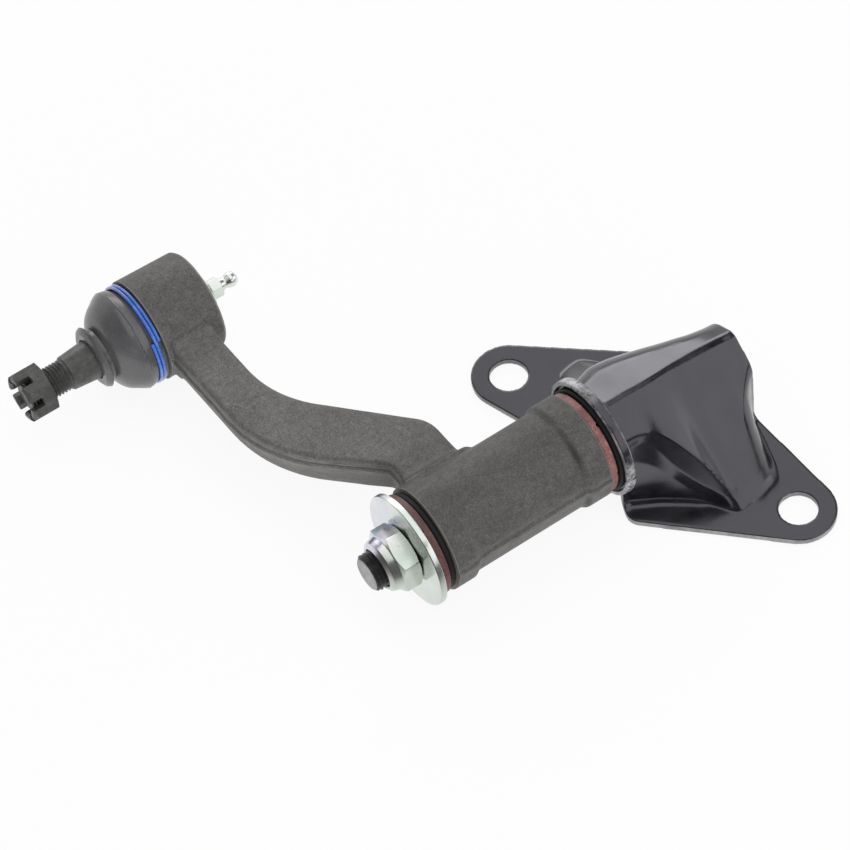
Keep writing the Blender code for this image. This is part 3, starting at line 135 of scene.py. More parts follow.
class Signal:
    """An output in a node tree, with arithmetic and the usual ways to shape it."""

    def __init__(self, nodes, socket):
        self.nodes = nodes
        self.socket = socket

    def __add__(self, other):
        return self.nodes.math("ADD", self, other)

    def __sub__(self, other):
        return self.nodes.math("SUBTRACT", self, other)

    def __mul__(self, other):
        return self.nodes.math("MULTIPLY", self, other)

    def __abs__(self):
        return self.nodes.math("ABSOLUTE", self)

    def band(self, low, high, to_low=0.0, to_high=1.0, kind="LINEAR"):
        """Carries the range from low to high over to another one, and holds it at both ends."""
        values = {0: self, 1: low, 2: high, 3: to_low, 4: to_high}
        return self.nodes.fed("ShaderNodeMapRange", {"interpolation_type": kind}, values)

    def near(self, place, outer, inner):
        """1 within the inner distance of a place and 0 beyond the outer one."""
        return abs(self - place).band(outer, inner)

    def ramp(self, *stops):
        node = self.nodes.add("ShaderNodeValToRGB", Fac=self)
        elements = node.color_ramp.elements
        while len(elements) < len(stops):
            elements.new(0.5)
        for element, (place, colour) in zip(elements, stops):
            element.position = place
            element.color = (*colour, 1.0)
        return Signal(self.nodes, node.outputs["Color"])


class Nodes:
    """Short ways to add nodes to a tree."""

    def __init__(self, tree):
        self.tree = tree

    def put(self, socket, value):
        """Links or sets an input; a colour may leave out its alpha."""
        if isinstance(value, Signal):
            self.tree.links.new(value.socket, socket)
        elif isinstance(value, tuple) and len(value) < len(socket.default_value):
            socket.default_value = (*value, 1.0)
        else:
            socket.default_value = value

    def add(self, kind, settings=None, **inputs):
        node = self.tree.nodes.new(kind)
        for key, value in (settings or {}).items():
            setattr(node, key, value)
        for key, value in inputs.items():
            self.put(node.inputs[key.replace("_", " ")], value)
        return node

    def read(self, output, kind, **inputs):
        return Signal(self, self.add(kind, **inputs).outputs[output])

    def fed(self, kind, settings, values, output=0):
        """A node's output, with values for inputs by their number."""
        node = self.add(kind, settings)
        for index, value in values.items():
            self.put(node.inputs[index], value)
        return Signal(self, node.outputs[output])

    def math(self, operation, first, second=0.0):
        return self.fed("ShaderNodeMath", {"operation": operation}, {0: first, 1: second})

    def mix(self, factor, first, second, blend="MIX"):
        settings = {"data_type": "RGBA", "blend_type": blend}
        return self.fed("ShaderNodeMix", settings, {0: factor, 6: first, 7: second}, 2)


class Finish(Nodes):
    """A material on the principled shader, laid out in the row's frame."""

    def __init__(self, name, **sockets):
        self.material = bpy.data.materials.new(name)
        self.material.use_nodes = True
        super().__init__(self.material.node_tree)
        self.shader = self.tree.nodes["Principled BSDF"]
        for key, value in sockets.items():
            self.put(self.shader.inputs[key.replace("_", " ")], value)
        self.place = self.read("Object", "ShaderNodeTexCoord")

    def noise(self, scale, detail=4.0, roughness=0.55, vector=None):
        return self.read("Fac", "ShaderNodeTexNoise", Scale=scale, Detail=detail, Roughness=roughness,
                         Vector=vector or self.place)

    def axes(self, vector):
        node = self.add("ShaderNodeSeparateXYZ", Vector=vector)
        return [Signal(self, socket) for socket in node.outputs]

    def facing(self):
        """How far the surface faces upwards."""
        return self.axes(self.read("Normal", "ShaderNodeNewGeometry"))[2]

    def bump(self, height, distance, strength, under=None):
        node = self.add("ShaderNodeBump", Height=height, Distance=distance, Strength=strength)
        if under:
            self.put(node.inputs["Normal"], under)
        return Signal(self, node.outputs["Normal"])

    def made(self, colour, rough, normal):
        for name, value in (("Base Color", colour), ("Roughness", rough), ("Normal", normal)):
            self.put(self.shader.inputs[name], value)
        return self.material


def scaled(colour, share):
    return tuple(min(channel * share, 1.0) for channel in colour)


# Materials

def simple(name, colour, roughness, metallic=0.0, **sockets):
    """A plain finish with fine mottling, roughness variation and grain."""
    n = Finish(name, Metallic=metallic, **sockets)
    fine = n.noise(2500.0)
    tone = (fine + n.noise(2500.0 / 18.0, 3.0)) * 0.5
    base = tone.ramp((0.35, scaled(colour, 0.82)), (0.65, scaled(colour, 1.18)))
    return n.made(base, tone.band(0.3, 0.7, roughness * 0.85, roughness * 1.15), n.bump(fine, 0.00002, 0.6))


def forged_finish():
    """Shot-blasted, phosphated forging: pits, pale specks, streaks along the trimmed parting line, and
    painted light and shade.
    """
    n = Finish("forged_steel", Metallic=0.1)
    cloud = n.noise(40.0, 3.0, 0.5)
    patch = n.noise(420.0, 3.0, 0.6)
    pits = n.noise(1500.0, 3.0, 0.7)
    grain = n.noise(3400.0, 2.0, 0.6)
    tone = cloud * 0.10 + patch * 0.20 + pits * 0.42 + grain * 0.28
    base = tone.ramp(
        (0.38, (0.060, 0.057, 0.054)), (0.50, (0.113, 0.108, 0.103)), (0.62, (0.182, 0.174, 0.165)),
    )
    cells = n.read("Distance", "ShaderNodeTexVoronoi", Vector=n.place, Scale=520.0)
    speck = cells.band(0.13, 0.03) * n.noise(260.0, 2.0, 0.5).band(0.56, 0.64)
    base = n.mix(speck * 0.9, base, (0.42, 0.41, 0.38))

    # Height is taken from the arm's parting plane
    x, row_y, row_z = n.axes(n.place)
    y = row_y - PIVOT_AXIS[0]
    height = row_z - PIVOT_AXIS[1] - y * math.tan(REST_ANGLE)
    stretched = n.read("Vector", "ShaderNodeCombineXYZ", X=x * 0.06, Y=row_y * 0.06, Z=height)
    streak = n.noise(2300.0, 3.0, 0.6, stretched)
    facing = n.facing()
    wall = abs(facing).band(0.55, 0.25)
    # Painted light: the lower half's sideways and downward faces are made paler with streaks, partly trimmed
    # flash and partly painted light from the white floor below
    under = height.band(0.0024, 0.0004) * facing.band(0.50, 0.20)
    base = n.mix(under * streak.band(0.30, 0.62, 0.25, 0.75), base, (0.172, 0.169, 0.158))
    parting = abs(height).band(0.0046, 0.0020) * wall
    base = n.mix(parting * streak.band(0.44, 0.60), base, (0.21, 0.206, 0.190))
    line = height.near(0.0013, 0.0005, 0.0001) * wall
    base = n.mix(line * 0.8, base, (0.030, 0.029, 0.027))

    # The steps of the barrel's bands, with painted shade at the far step and a painted highlight at the near
    # one, then the rims that machining left bright
    for step, tint, share in ((BARREL_FAR - 0.0094, (0.028, 0.027, 0.026), 0.75),
                              (BARREL_NEAR + 0.0090, (0.240, 0.236, 0.226), 0.35)):
        band = x.near(SHIFT.x + step, 0.0017, 0.0002) * y.band(0.0, -0.012) * cloud.band(0.42, 0.56)
        base = n.mix(band * share, base, tint)
    on_barrel = y.band(0.0215, 0.0205)
    on_hub = y.band(PIVOT_TO_BALL - 0.0222, PIVOT_TO_BALL - 0.0212)
    for end, where in ((BARREL_NEAR, on_barrel), (BARREL_FAR, on_barrel), (HUB_FAR - 0.0006, on_hub),
                       (HUB_NEAR, on_hub)):
        rim = x.near(SHIFT.x + end, 0.00045, 0.00008) * where
        base = n.mix(rim * 0.75, base, (0.30, 0.285, 0.250))
    # The barrel and the hub are made darker than the arm between them
    darker_ends = n.math("MINIMUM", y.band(0.016, 0.034, 0.60, 1.0),
                     y.band(PIVOT_TO_BALL - 0.034, PIVOT_TO_BALL - 0.016, 1.0, 0.76))
    rise = pits * 0.7 + grain * 0.3 + parting * streak * 0.8
    return n.made(n.mix(1.0, base, darker_ends, "MULTIPLY"), tone.band(0.40, 0.62, 0.62, 0.46),
                  n.bump(rise, 0.00012, 0.7, n.bump(patch, 0.00010, 0.4)))


def paint_finish(name, worn=False):
    """Dipped gloss paint: near-black ground, orange peel, dust, faint drying marks, and a painted reflection
    that makes the sheared rim faces pale.
    """
    n = Finish(name, IOR=1.8, Specular_Tint=(0.93, 0.92, 1.0))
    wide = n.noise(34.0, 3.0, 0.5)
    peel = n.noise(330.0, 2.0, 0.45)
    fine = n.noise(1500.0, 3.0, 0.6)
    marks = n.noise(120.0, 6.0, 0.7)
    ground = marks.ramp((0.42, (0.0050, 0.0050, 0.0068)), (0.62, (0.0095, 0.0095, 0.0122)))
    dust = fine.band(0.62, 0.72) * wide.band(0.50, 0.62)
    ground = n.mix(dust * 0.35, ground, (0.10, 0.10, 0.105))
    rough = (wide * 0.6 + marks * 0.4).band(0.4, 0.62, 0.13, 0.26)
    x, y, z = n.axes(n.place)
    if worn:
        # The collar ring is scraped at its foot, on its upper left and along both rims
        scrape = n.noise(230.0, 6.0, 0.72)
        foot = (y * -1.0 - z * 0.8).band(0.036, 0.054) * scrape.band(0.42, 0.56)
        left = y.band(-0.050, -0.036) * z.band(0.036, 0.042) * scrape.band(0.40, 0.58)
        front = x.near(SHIFT.x + COLLAR_FRONT, 0.00045, 0.00010)
        back = x.near(SHIFT.x + COLLAR_FRONT + COLLAR_THICKNESS - 0.0006, 0.00050, 0.00010)
        rims = n.math("MAXIMUM", front, back * 0.6) * scrape.band(0.36, 0.60)
        bare = n.math("MAXIMUM", n.math("MAXIMUM", foot, left * 0.8), rims * 0.45)
        ground = n.mix(bare, ground, (0.62, 0.62, 0.63))
        n.put(n.shader.inputs["Metallic"], bare * 0.35)
        rough = bare.band(0.0, 1.0, 0.24, 0.42)
    # Painted reflection: the sheet's upright rim faces and hole walls are made pale, as if they mirrored the
    # white floor
    edge = abs(n.facing()).band(0.50, 0.20) * z.band(SHEET + 0.0002, SHEET - 0.0002)
    ground = n.mix(edge * marks.band(0.36, 0.60, 0.35, 1.0), ground, (0.22, 0.22, 0.215))
    return n.made(ground, rough, n.bump(fine, 0.000006, 0.3, n.bump(peel, 0.000035, 0.35)))


def zinc_finish(name, axis, tint=0.5):
    """Passivated zinc: pale metal with patches of green, blue and violet, and tool lines round an axis."""
    n = Finish(name, Metallic=1.0)
    colours = n.noise(48.0, 2.5, 0.5).ramp(
        (0.34, (0.56, 0.68, 0.60)), (0.44, (0.70, 0.75, 0.67)), (0.52, (0.78, 0.78, 0.77)),
        (0.60, (0.68, 0.65, 0.76)), (0.70, (0.58, 0.70, 0.80)),
    )
    base = n.mix(tint, (0.76, 0.78, 0.76), colours)
    stain = n.noise(420.0, 5.0, 0.7).band(0.58, 0.74)
    base = n.mix(stain * 0.35, base, (0.40, 0.40, 0.38))
    x, y, z = n.axes(n.place)
    y, z = y - axis[0], z - axis[1]
    reach = n.math("SQRT", y * y + z * z)
    rings = n.bump(n.math("SINE", (reach + x * 0.7) * 17000.0), 0.0000022, 0.5)
    return n.made(base, n.noise(70.0, 3.0, 0.55).band(0.35, 0.65, 0.17, 0.31),
                  n.bump(n.noise(900.0, 4.0, 0.6), 0.000010, 0.35, rings))


def resin_finish(name, light=1.0):
    """Red-brown filled resin: mottled and slightly dusty; a light share below 1 scales the colours down for a
    darker copy.
    """
    n = Finish(name)
    fine = n.noise(1400.0, 3.0, 0.6)
    tone = (n.noise(240.0, 4.0, 0.6) + fine) * 0.5
    stops = (0.38, (0.135, 0.050, 0.046)), (0.52, (0.225, 0.092, 0.084)), (0.66, (0.39, 0.205, 0.185))
    base = tone.ramp(*((place, scaled(colour, light)) for place, colour in stops))
    return n.made(base, tone.band(0.38, 0.64, 0.36, 0.58), n.bump(fine, 0.00003, 0.5))


def rubber_finish():
    """Moulded rubber: fine mould grain, cloudy bloom and soft sheen."""
    n = Finish("black_rubber", IOR=1.65)
    cloud = n.noise(60.0, 4.0, 0.6)
    fine = n.noise(1700.0, 3.0, 0.55)
    tone = cloud * 0.6 + fine * 0.4
    base = tone.ramp(
        (0.38, (0.058, 0.057, 0.060)), (0.52, (0.076, 0.075, 0.078)), (0.66, (0.098, 0.096, 0.097)),
    )
    streaked = cloud * 0.5 + n.noise(150.0, 5.0, 0.65) * 0.5
    return n.made(base, streaked.band(0.38, 0.62, 0.22, 0.32), n.bump(fine, 0.000012, 0.5))


def wire_finish():
    """Blue lacquered spring wire, darker where the lacquer runs thin."""
    n = Finish("blue_spring_wire", Coat_Weight=0.8, Coat_Roughness=0.08)
    patch = n.noise(300.0, 4.0, 0.6)
    base = patch.ramp(
        (0.34, (0.030, 0.100, 0.42)), (0.52, (0.046, 0.150, 0.54)), (0.68, (0.075, 0.215, 0.64)),
    )
    return n.made(base, patch.band(0.36, 0.64, 0.20, 0.36), n.bump(n.noise(1500.0, 3.0, 0.5), 0.000006, 0.4))


def phosphate_finish(name, light, metallic, roughness, bare_end=None):
    """Manganese phosphate on turned steel: dark, crystalline, rubbed paler; a cut end can be bare."""
    n = Finish(name, Metallic=metallic)
    patch = n.noise(300.0, 5.0, 0.65)
    fine = n.noise(2300.0, 3.0, 0.6)
    tone = patch * 0.55 + fine * 0.45
    base = tone.ramp((0.38, scaled(light, 0.62)), (0.52, light), (0.68, scaled(light, 1.75)))
    if bare_end:
        bare = n.axes(n.place)[0].band(bare_end + 0.00025, bare_end + 0.00010)
        base = n.mix(bare * patch.band(0.3, 0.6, 0.6, 1.0), base, (0.36, 0.36, 0.37))
    return n.made(base, tone.band(0.38, 0.64, roughness * 1.15, roughness * 0.8), n.bump(fine, 0.00003, 0.5))


FORGED = forged_finish()
PAINT = paint_finish("black_paint")
PAINT_WORN = paint_finish("black_paint_worn", True)
ZINC = zinc_finish("zinc_plate", PIVOT_AXIS)
ZINC_NUT = zinc_finish("zinc_nut", PIVOT_AXIS, 0.85)
ZINC_HUB = zinc_finish("zinc_hub", HUB_AXIS, 0.6)
BLACKENED = phosphate_finish("blackened_steel", (0.030, 0.030, 0.031), 0.5, 0.38, SHIFT.x + SHAFT_END)
PHOSPHATE = phosphate_finish("phosphated_steel", (0.062, 0.061, 0.059), 0.15, 0.40)
RESIN = resin_finish("bushing_resin")
# The near bushing gets a darker copy of the resin
RESIN_DARKER = resin_finish("bushing_resin_darker", 0.42)
RUBBER = rubber_finish()
BLUE = wire_finish()
# Painted shade: the dust seals are near-black with little sheen, darker than the boot's rubber, so they also
# stand for the shade in the gaps beside the bushings' flanges
SEAL_AND_SHADE = simple("seal_rubber_and_shade", (0.010, 0.010, 0.010), 0.6, Specular_IOR_Level=0.22)
SEAT = simple("seat_plastic", (0.72, 0.70, 0.64), 0.4)
BRIGHT = simple("bright_steel", (0.6, 0.6, 0.6), 0.25, 1.0)

BY_SLOT = {
    "forged_steel": FORGED, "black_paint": PAINT, "zinc_plate": ZINC, "blackened_steel": BLACKENED,
    "phosphated_steel": PHOSPHATE, "bushing_resin": RESIN, "black_rubber": RUBBER,
    "blue_spring_wire": BLUE, "seat_plastic": SEAT, "bright_steel": BRIGHT,
}
for part in frame["record"]["subparts"]:
    node = frame["nodes"][part["node"]]
    for slot in node.material_slots:
        slot.material = BY_SLOT[part["material_slot"]]


# Shapes

CORNER_SHARE = 0.48
NEARLY_STRAIGHT = math.radians(89.5)
SIXTH = math.tau / 6


def smooth_value(places, values, place):
    """A monotone cubic through values at rising places."""
    place = min(max(place, places[0]), places[-1])
    slopes = [(values[i + 1] - values[i]) / (places[i + 1] - places[i]) for i in range(len(places) - 1)]
    tangents = [slopes[0]]
    for left, right in zip(slopes, slopes[1:]):
        tangents.append(0.0 if left * right <= 0 else 2 * left * right / (left + right))
    tangents.append(slopes[-1])
    index = max(i for i in range(len(places) - 1) if places[i] <= place)
    width = places[index + 1] - places[index]
    share = (place - places[index]) / width
    return (
        values[index] * (1 + 2 * share) * (1 - share) ** 2
        + values[index + 1] * share ** 2 * (3 - 2 * share)
        + tangents[index] * width * share * (1 - share) ** 2
        + tangents[index + 1] * width * share ** 2 * (share - 1)
    )


def rounded_corner(before, corner, after, radius, steps):
    """Points of the arc that rounds a corner, limited to what its two sides can hold."""
    before, corner, after = Vector(before), Vector(corner), Vector(after)
    to_before = (before - corner).normalized()
    to_after = (after - corner).normalized()
    half = to_before.angle(to_after) / 2
    room = CORNER_SHARE * min((before - corner).length, (after - corner).length)
    if half > NEARLY_STRAIGHT:
        reach = min(radius / 4, room)
        first, last = corner + to_before * reach, corner + to_after * reach
        return [first.lerp(last, step / steps) for step in range(steps + 1)]
    reach = min(radius / math.tan(half), room)
    radius = reach * math.tan(half)
    centre = corner + (to_before + to_after).normalized() * (radius / math.sin(half))
    first = corner + to_before * reach - centre
    last = corner + to_after * reach - centre
    sweep = math.pi - 2 * half
    points = []
    for step in range(steps + 1):
        share = step / steps
        blend = first * math.sin((1 - share) * sweep) + last * math.sin(share * sweep)
        points.append(centre + blend / math.sin(sweep))
    return points


def rounded_path(points, radii, steps=6):
    """An open path whose inner corners are rounded; radii is one number or one for each inner corner."""
    if isinstance(radii, float):
        radii = [radii] * (len(points) - 2)
    path = [Vector(points[0])]
    for index in range(1, len(points) - 1):
        path += rounded_corner(points[index - 1], points[index], points[index + 1], radii[index - 1], steps)
    path.append(Vector(points[-1]))
    return path


def finish_mesh(name, bm, place, material, sharp=32.0, smooth=True):
    """An object from a closed bmesh in a local frame, put in its place in the row's frame."""
    bmesh.ops.recalc_face_normals(bm, faces=bm.faces[:])
    mesh = bpy.data.meshes.new(name)
    bm.to_mesh(mesh)
    bm.free()
    mesh.transform(place)
    if smooth:
        mesh.shade_smooth()
        mesh.set_sharp_from_angle(angle=math.radians(sharp))
    obj = bpy.data.objects.new(name, mesh)
    if material:
        mesh.materials.append(material)
    bpy.context.scene.collection.objects.link(obj)
    return obj


def turned(profile, sides=96):
    """A solid turned about the X axis from (x, radius) points."""
    bm = bmesh.new()
    points = [bm.verts.new((point[0], 0.0, max(point[1], 0.0))) for point in profile]
    ends = list(zip(points, points[1:]))
    if profile[0][1] > 1e-9 or profile[-1][1] > 1e-9:
        ends.append((points[-1], points[0]))
    edges = [bm.edges.new(pair) for pair in ends]
    bmesh.ops.spin(
        bm, geom=points + edges, cent=(0.0, 0.0, 0.0), axis=(1.0, 0.0, 0.0),
        angle=math.tau, steps=sides, use_merge=True,
    )
    bmesh.ops.remove_doubles(bm, verts=bm.verts[:], dist=1e-7)
    return bm


def filled(points, sides=96):
    """A turned solid whose profile starts and ends on the axis."""
    return turned([(points[0][0], 0.0), *points, (points[-1][0], 0.0)], sides)


def drum(start, end, radius):
    return filled([(start, radius), (end, radius)])


def extruded(points, push):
    """A prism on a closed outline, pushed along a vector."""
    bm = bmesh.new()
    face = bm.faces.new([bm.verts.new(point) for point in points])
    pushed = bmesh.ops.extrude_face_region(bm, geom=[face])
    moved = [item for item in pushed["geom"] if isinstance(item, bmesh.types.BMVert)]
    bmesh.ops.translate(bm, verts=moved, vec=push)
    return bm


def prism(outline, low, high):
    return extruded([(x, y, low) for x, y in outline], (0.0, 0.0, high - low))


def skin(rows, outward=True):
    """A closed surface through rings of points, with a face over each end."""
    bm = bmesh.new()
    rings = [[bm.verts.new(point) for point in row] for row in rows]
    for ring, following in zip(rings, rings[1:]):
        for index in range(len(ring)):
            after = (index + 1) % len(ring)
            corners = [ring[index], ring[after], following[after], following[index]]
            bm.faces.new(corners if outward else corners[:1] + corners[:0:-1])
    bm.faces.new(rings[0])
    bm.faces.new(rings[-1])
    return bm


def waved(bm, wave):
    """Moves each point from the axis by what wave gives for its place, turn and distance."""
    for vertex in bm.verts:
        x, y, z = vertex.co
        reach = math.hypot(y, z)
        scale = 1.0 + wave(x, math.atan2(z, y), reach) / reach
        vertex.co = (x, y * scale, z * scale)
    return bm


def bored(radius, place, depth, segments):
    """A round bar across the X axis, laid by a matrix."""
    bm = bmesh.new()
    bmesh.ops.create_cone(
        bm, cap_ends=True, segments=segments, radius1=radius, radius2=radius, depth=depth, matrix=place,
    )
    return bm


def hexagon(flats, start, end, turn_degrees, rounding):
    """A hexagonal bar along X whose six long edges are rounded."""
    middle = (flats / 2 - rounding) / math.cos(SIXTH / 2)
    points = []
    for side in range(6):
        turn = math.radians(turn_degrees) + side * SIXTH
        for step in range(-2, 3):
            bend = turn + math.radians(step * 15.0)
            points.append((
                start,
                middle * math.cos(turn) + rounding * math.cos(bend),
                middle * math.sin(turn) + rounding * math.sin(bend),
            ))
    return extruded(points, (end - start, 0.0, 0.0))


def baked(obj):
    """Applies an object's modifiers to its mesh."""
    graph = bpy.context.evaluated_depsgraph_get()
    mesh = bpy.data.meshes.new_from_object(obj.evaluated_get(graph))
    obj.modifiers.clear()
    obj.data = mesh


def carve(target, bm, place, operation="DIFFERENCE"):
    """Cuts a helper shape from a piece, or joins or intersects the two."""
    tool = finish_mesh("tool", bm, place, None, smooth=False)
    modifier = target.modifiers.new(operation, "BOOLEAN")
    modifier.operation = operation
    modifier.solver = "EXACT"
    modifier.object = tool
    baked(target)
    bpy.data.objects.remove(tool, do_unlink=True)


def remeshed(obj, size, rounds=0):
    """An even mesh over the whole shape, smoothed so that corners and joints flow together."""
    modifier = obj.modifiers.new("even", "REMESH")
    modifier.mode = "VOXEL"
    modifier.voxel_size = size
    baked(obj)
    smooth = obj.modifiers.new("soft", "SMOOTH")
    smooth.factor = 0.5
    smooth.iterations = rounds
    baked(obj)


def place_piece(obj, body, slot, *nodes):
    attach(obj, body)
    if nodes:
        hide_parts(*nodes)


def complete(obj, material, sharp, body, slot, *nodes):
    """Gives a carved piece its material, its shading and its place in the row."""
    obj.data.materials.clear()
    obj.data.materials.append(material)
    obj.data.shade_smooth()
    obj.data.set_sharp_from_angle(angle=math.radians(sharp))
    place_piece(obj, body, slot, *nodes)


def lathe(name, profile, place, material, body, slot, node, sides=96):
    place_piece(finish_mesh(name, turned(profile, sides), place, material), body, slot, node)


# Pressed bracket

HUMP_STATIONS = 120
ABOVE_HUMP = 0.07
RIM_ANGLE = 0.6


def tangent_point(outside, centre, radius, side):
    outside, centre = Vector(outside), Vector(centre)
    away = outside - centre
    turn = side * math.acos(radius / away.length)
    cosine, sine = math.cos(turn), math.sin(turn)
    unit = away.normalized()
    return centre + radius * Vector((unit.x * cosine - unit.y * sine, unit.x * sine + unit.y * cosine))


def arc_between(centre, start, end, steps):
    first = math.atan2(start[1] - centre[1], start[0] - centre[0])
    last = math.atan2(end[1] - centre[1], end[0] - centre[0])
    if last < first:
        last += math.tau
    radius = math.dist(centre, start)
    turns = [first + (last - first) * step / steps for step in range(steps + 1)]
    return [(centre[0] + radius * math.cos(turn), centre[1] + radius * math.sin(turn)) for turn in turns]


def plate_outline():
    left_in = tangent_point(REAR_CORNER, HOLE_LEFT, LOBE_RADIUS, 1)
    left_out = tangent_point(FRONT_NOTCH_LEFT, HOLE_LEFT, LOBE_RADIUS, -1)
    right_in = tangent_point(FRONT_CORNER, HOLE_RIGHT, LOBE_RADIUS, 1)
    right_out = Vector((HOLE_RIGHT[0] + LOBE_RADIUS, HOLE_RIGHT[1]))
    outline = arc_between(HOLE_LEFT, left_in, left_out, 40)
    outline.append(FRONT_NOTCH_LEFT)
    outline.append(FRONT_NOTCH)
    outline += rounded_corner(FRONT_NOTCH, FRONT_CORNER, right_in, 0.006, 14)
    outline += arc_between(HOLE_RIGHT, right_in, right_out, 40)
    outline += rounded_corner(right_out, REAR_CORNER, left_in, 0.008, 14)
    return [(point[0], point[1]) for point in outline]


def offset_path(points, distance):
    points = [Vector(point) for point in points]
    normals = [
        Vector((after.y - before.y, before.x - after.x)).normalized()
        for before, after in zip(points, points[1:])
    ]
    moved = [points[0] + normals[0] * distance]
    for point, before, after in zip(points[1:], normals, normals[1:]):
        both = (before + after).normalized()
        moved.append(point + both * (distance / both.dot(before)))
    moved.append(points[-1] + normals[-1] * distance)
    return moved


def hump_section(place):
    corners = []
    for corner in range(1, 9):
        tables = [[section[corner][part] / 1000.0 for section in HUMP_SECTIONS] for part in (0, 1)]
        corners.append([smooth_value(HUMP_PLACES, values, place) for values in tables])
    upper = [(HOLE_RIGHT[1] - LOBE_RADIUS - PLATE_MARGIN, 0.0), *corners,
             (HOLE_LEFT[1] + LOBE_RADIUS + PLATE_MARGIN, 0.0)]
    lower = offset_path(upper, SHEET)
    start, end = HUMP_ROUNDINGS_CHANGE
    share = min(max((place - start) / (end - start), 0.0), 1.0)
    roundings = [
        front + (rear - front) * share for front, rear in zip(HUMP_ROUNDINGS_FRONT, HUMP_ROUNDINGS_REAR)
    ]
    inside = []
    for index, radius in enumerate(roundings):
        before, corner, after = (Vector(upper[index + step]) for step in range(3))
        convex = (corner - before).cross(after - corner) < 0
        inside.append(max(radius - SHEET, 0.0004) if convex else radius + SHEET)
    top = rounded_path(upper, roundings, 8)
    return top + rounded_path(lower, inside, 8)[::-1]


def make_bracket():
    """The pressed sheet, evenly meshed on its exact surface, with its sheared rim rounded."""
    front = HOLE_LEFT[0] - LOBE_RADIUS - PLATE_MARGIN
    length = HUMP_PLACES[-1] - HUMP_PLACES[0]
    inner = [HUMP_PLACES[0] + length * step / HUMP_STATIONS for step in range(HUMP_STATIONS + 1)]
    rows = [
        [(place, point[0], SHEET + point[1]) for point in hump_section(place)]
        for place in [front, *inner, REAR_EDGE + PLATE_MARGIN]
    ]
    bracket = finish_mesh("bracket_pressing", skin(rows, False), PLATE_FRAME, None)
    carve(bracket, prism(plate_outline(), -SHEET, ABOVE_HUMP), PLATE_FRAME, "INTERSECT")
    for hole in (HOLE_LEFT, HOLE_RIGHT):
        circle = [
            (hole[0] + HOLE_RADIUS * math.cos(turn), hole[1] + HOLE_RADIUS * math.sin(turn))
            for turn in (math.tau * side / 96 for side in range(96))
        ]
        carve(bracket, prism(circle, -SHEET, 3 * SHEET), PLATE_FRAME)
    end = COLLAR_FRONT + COLLAR_THICKNESS + SEAT_GAP
    carve(bracket, drum(front, end, COLLAR_RADIUS + SEAT_GAP), PIVOT_FRAME)
    exact = BVHTree.FromObject(bracket, bpy.context.evaluated_depsgraph_get())
    remeshed(bracket, 0.00053)
    mesh = bracket.data
    for vertex in mesh.vertices:
        vertex.co = exact.find_nearest(vertex.co)[0]
    bm = bmesh.new()
    bm.from_mesh(mesh)
    bm.normal_update()
    bent = [edge for edge in bm.edges if edge.is_manifold and edge.calc_face_angle(0.0) > RIM_ANGLE]
    rim = {vertex for edge in bent for vertex in edge.verts}
    rim |= {edge.other_vert(vertex) for vertex in set(rim) for edge in vertex.link_edges}
    for _ in range(2):
        bmesh.ops.smooth_vert(
            bm, verts=list(rim), factor=0.5, use_axis_x=True, use_axis_y=True, use_axis_z=True,
        )
    bm.to_mesh(mesh)
    bm.free()
    complete(bracket, PAINT, 60.0, "bracket", "black_paint", "mounting_bracket")


# Forged arm

def barrel_outline(proud=0.0, beyond=0.0):
    band, slim = BARREL_BAND_RADIUS + proud, BARREL_RADIUS + proud
    near_band, far_band = BARREL_NEAR + 0.0078, BARREL_FAR - 0.0082
    return [
        (BARREL_NEAR - beyond, band), (near_band, band), (near_band + 0.0020, slim),
        (far_band - 0.0020, slim), (far_band, band), (BARREL_FAR + beyond, band),
    ]


def arm_edges():
    """The S-shaped arm's two edges on its parting plane, from the barrel to the hub."""
    into_barrel = BARREL_RADIUS * 0.75
    into_hub = PIVOT_TO_BALL - HUB_NEAR_RADIUS * 0.75
    flare = 0.0060
    front = rounded_path(
        [(-0.0626 - flare, into_barrel), (-0.0626, BARREL_RADIUS + flare), (-0.0626, 0.0307),
         (-0.0942, 0.0623), (-0.0942, into_hub)],
        (flare / 2, 0.003, 0.055), 24,
    )
    rear = rounded_path(
        [(-0.0399 + flare, into_barrel), (-0.0399, BARREL_RADIUS + flare / 3), (-0.0399, 0.0381),
         (-0.0765, 0.0806), (-0.0765, into_hub)],
        (flare / 2, 0.012, 0.043), 24,
    )
    return front, rear


def path_shares(path):
    lengths = [0.0]
    for point, following in zip(path, path[1:]):
        lengths.append(lengths[-1] + (following - point).length)
    return [length / lengths[-1] for length in lengths]


def point_at(path, shares, share):
    index = max(i for i in range(len(shares) - 1) if shares[i] <= share + 1e-9)
    part = (share - shares[index]) / (shares[index + 1] - shares[index])
    return path[index].lerp(path[index + 1], min(max(part, 0.0), 1.0))


def fillet_rise(distance, fillet=0.0060):
    if distance >= fillet:
        return 0.0
    reach = fillet - max(distance, 0.0)
    return fillet - math.sqrt(fillet ** 2 - reach ** 2)


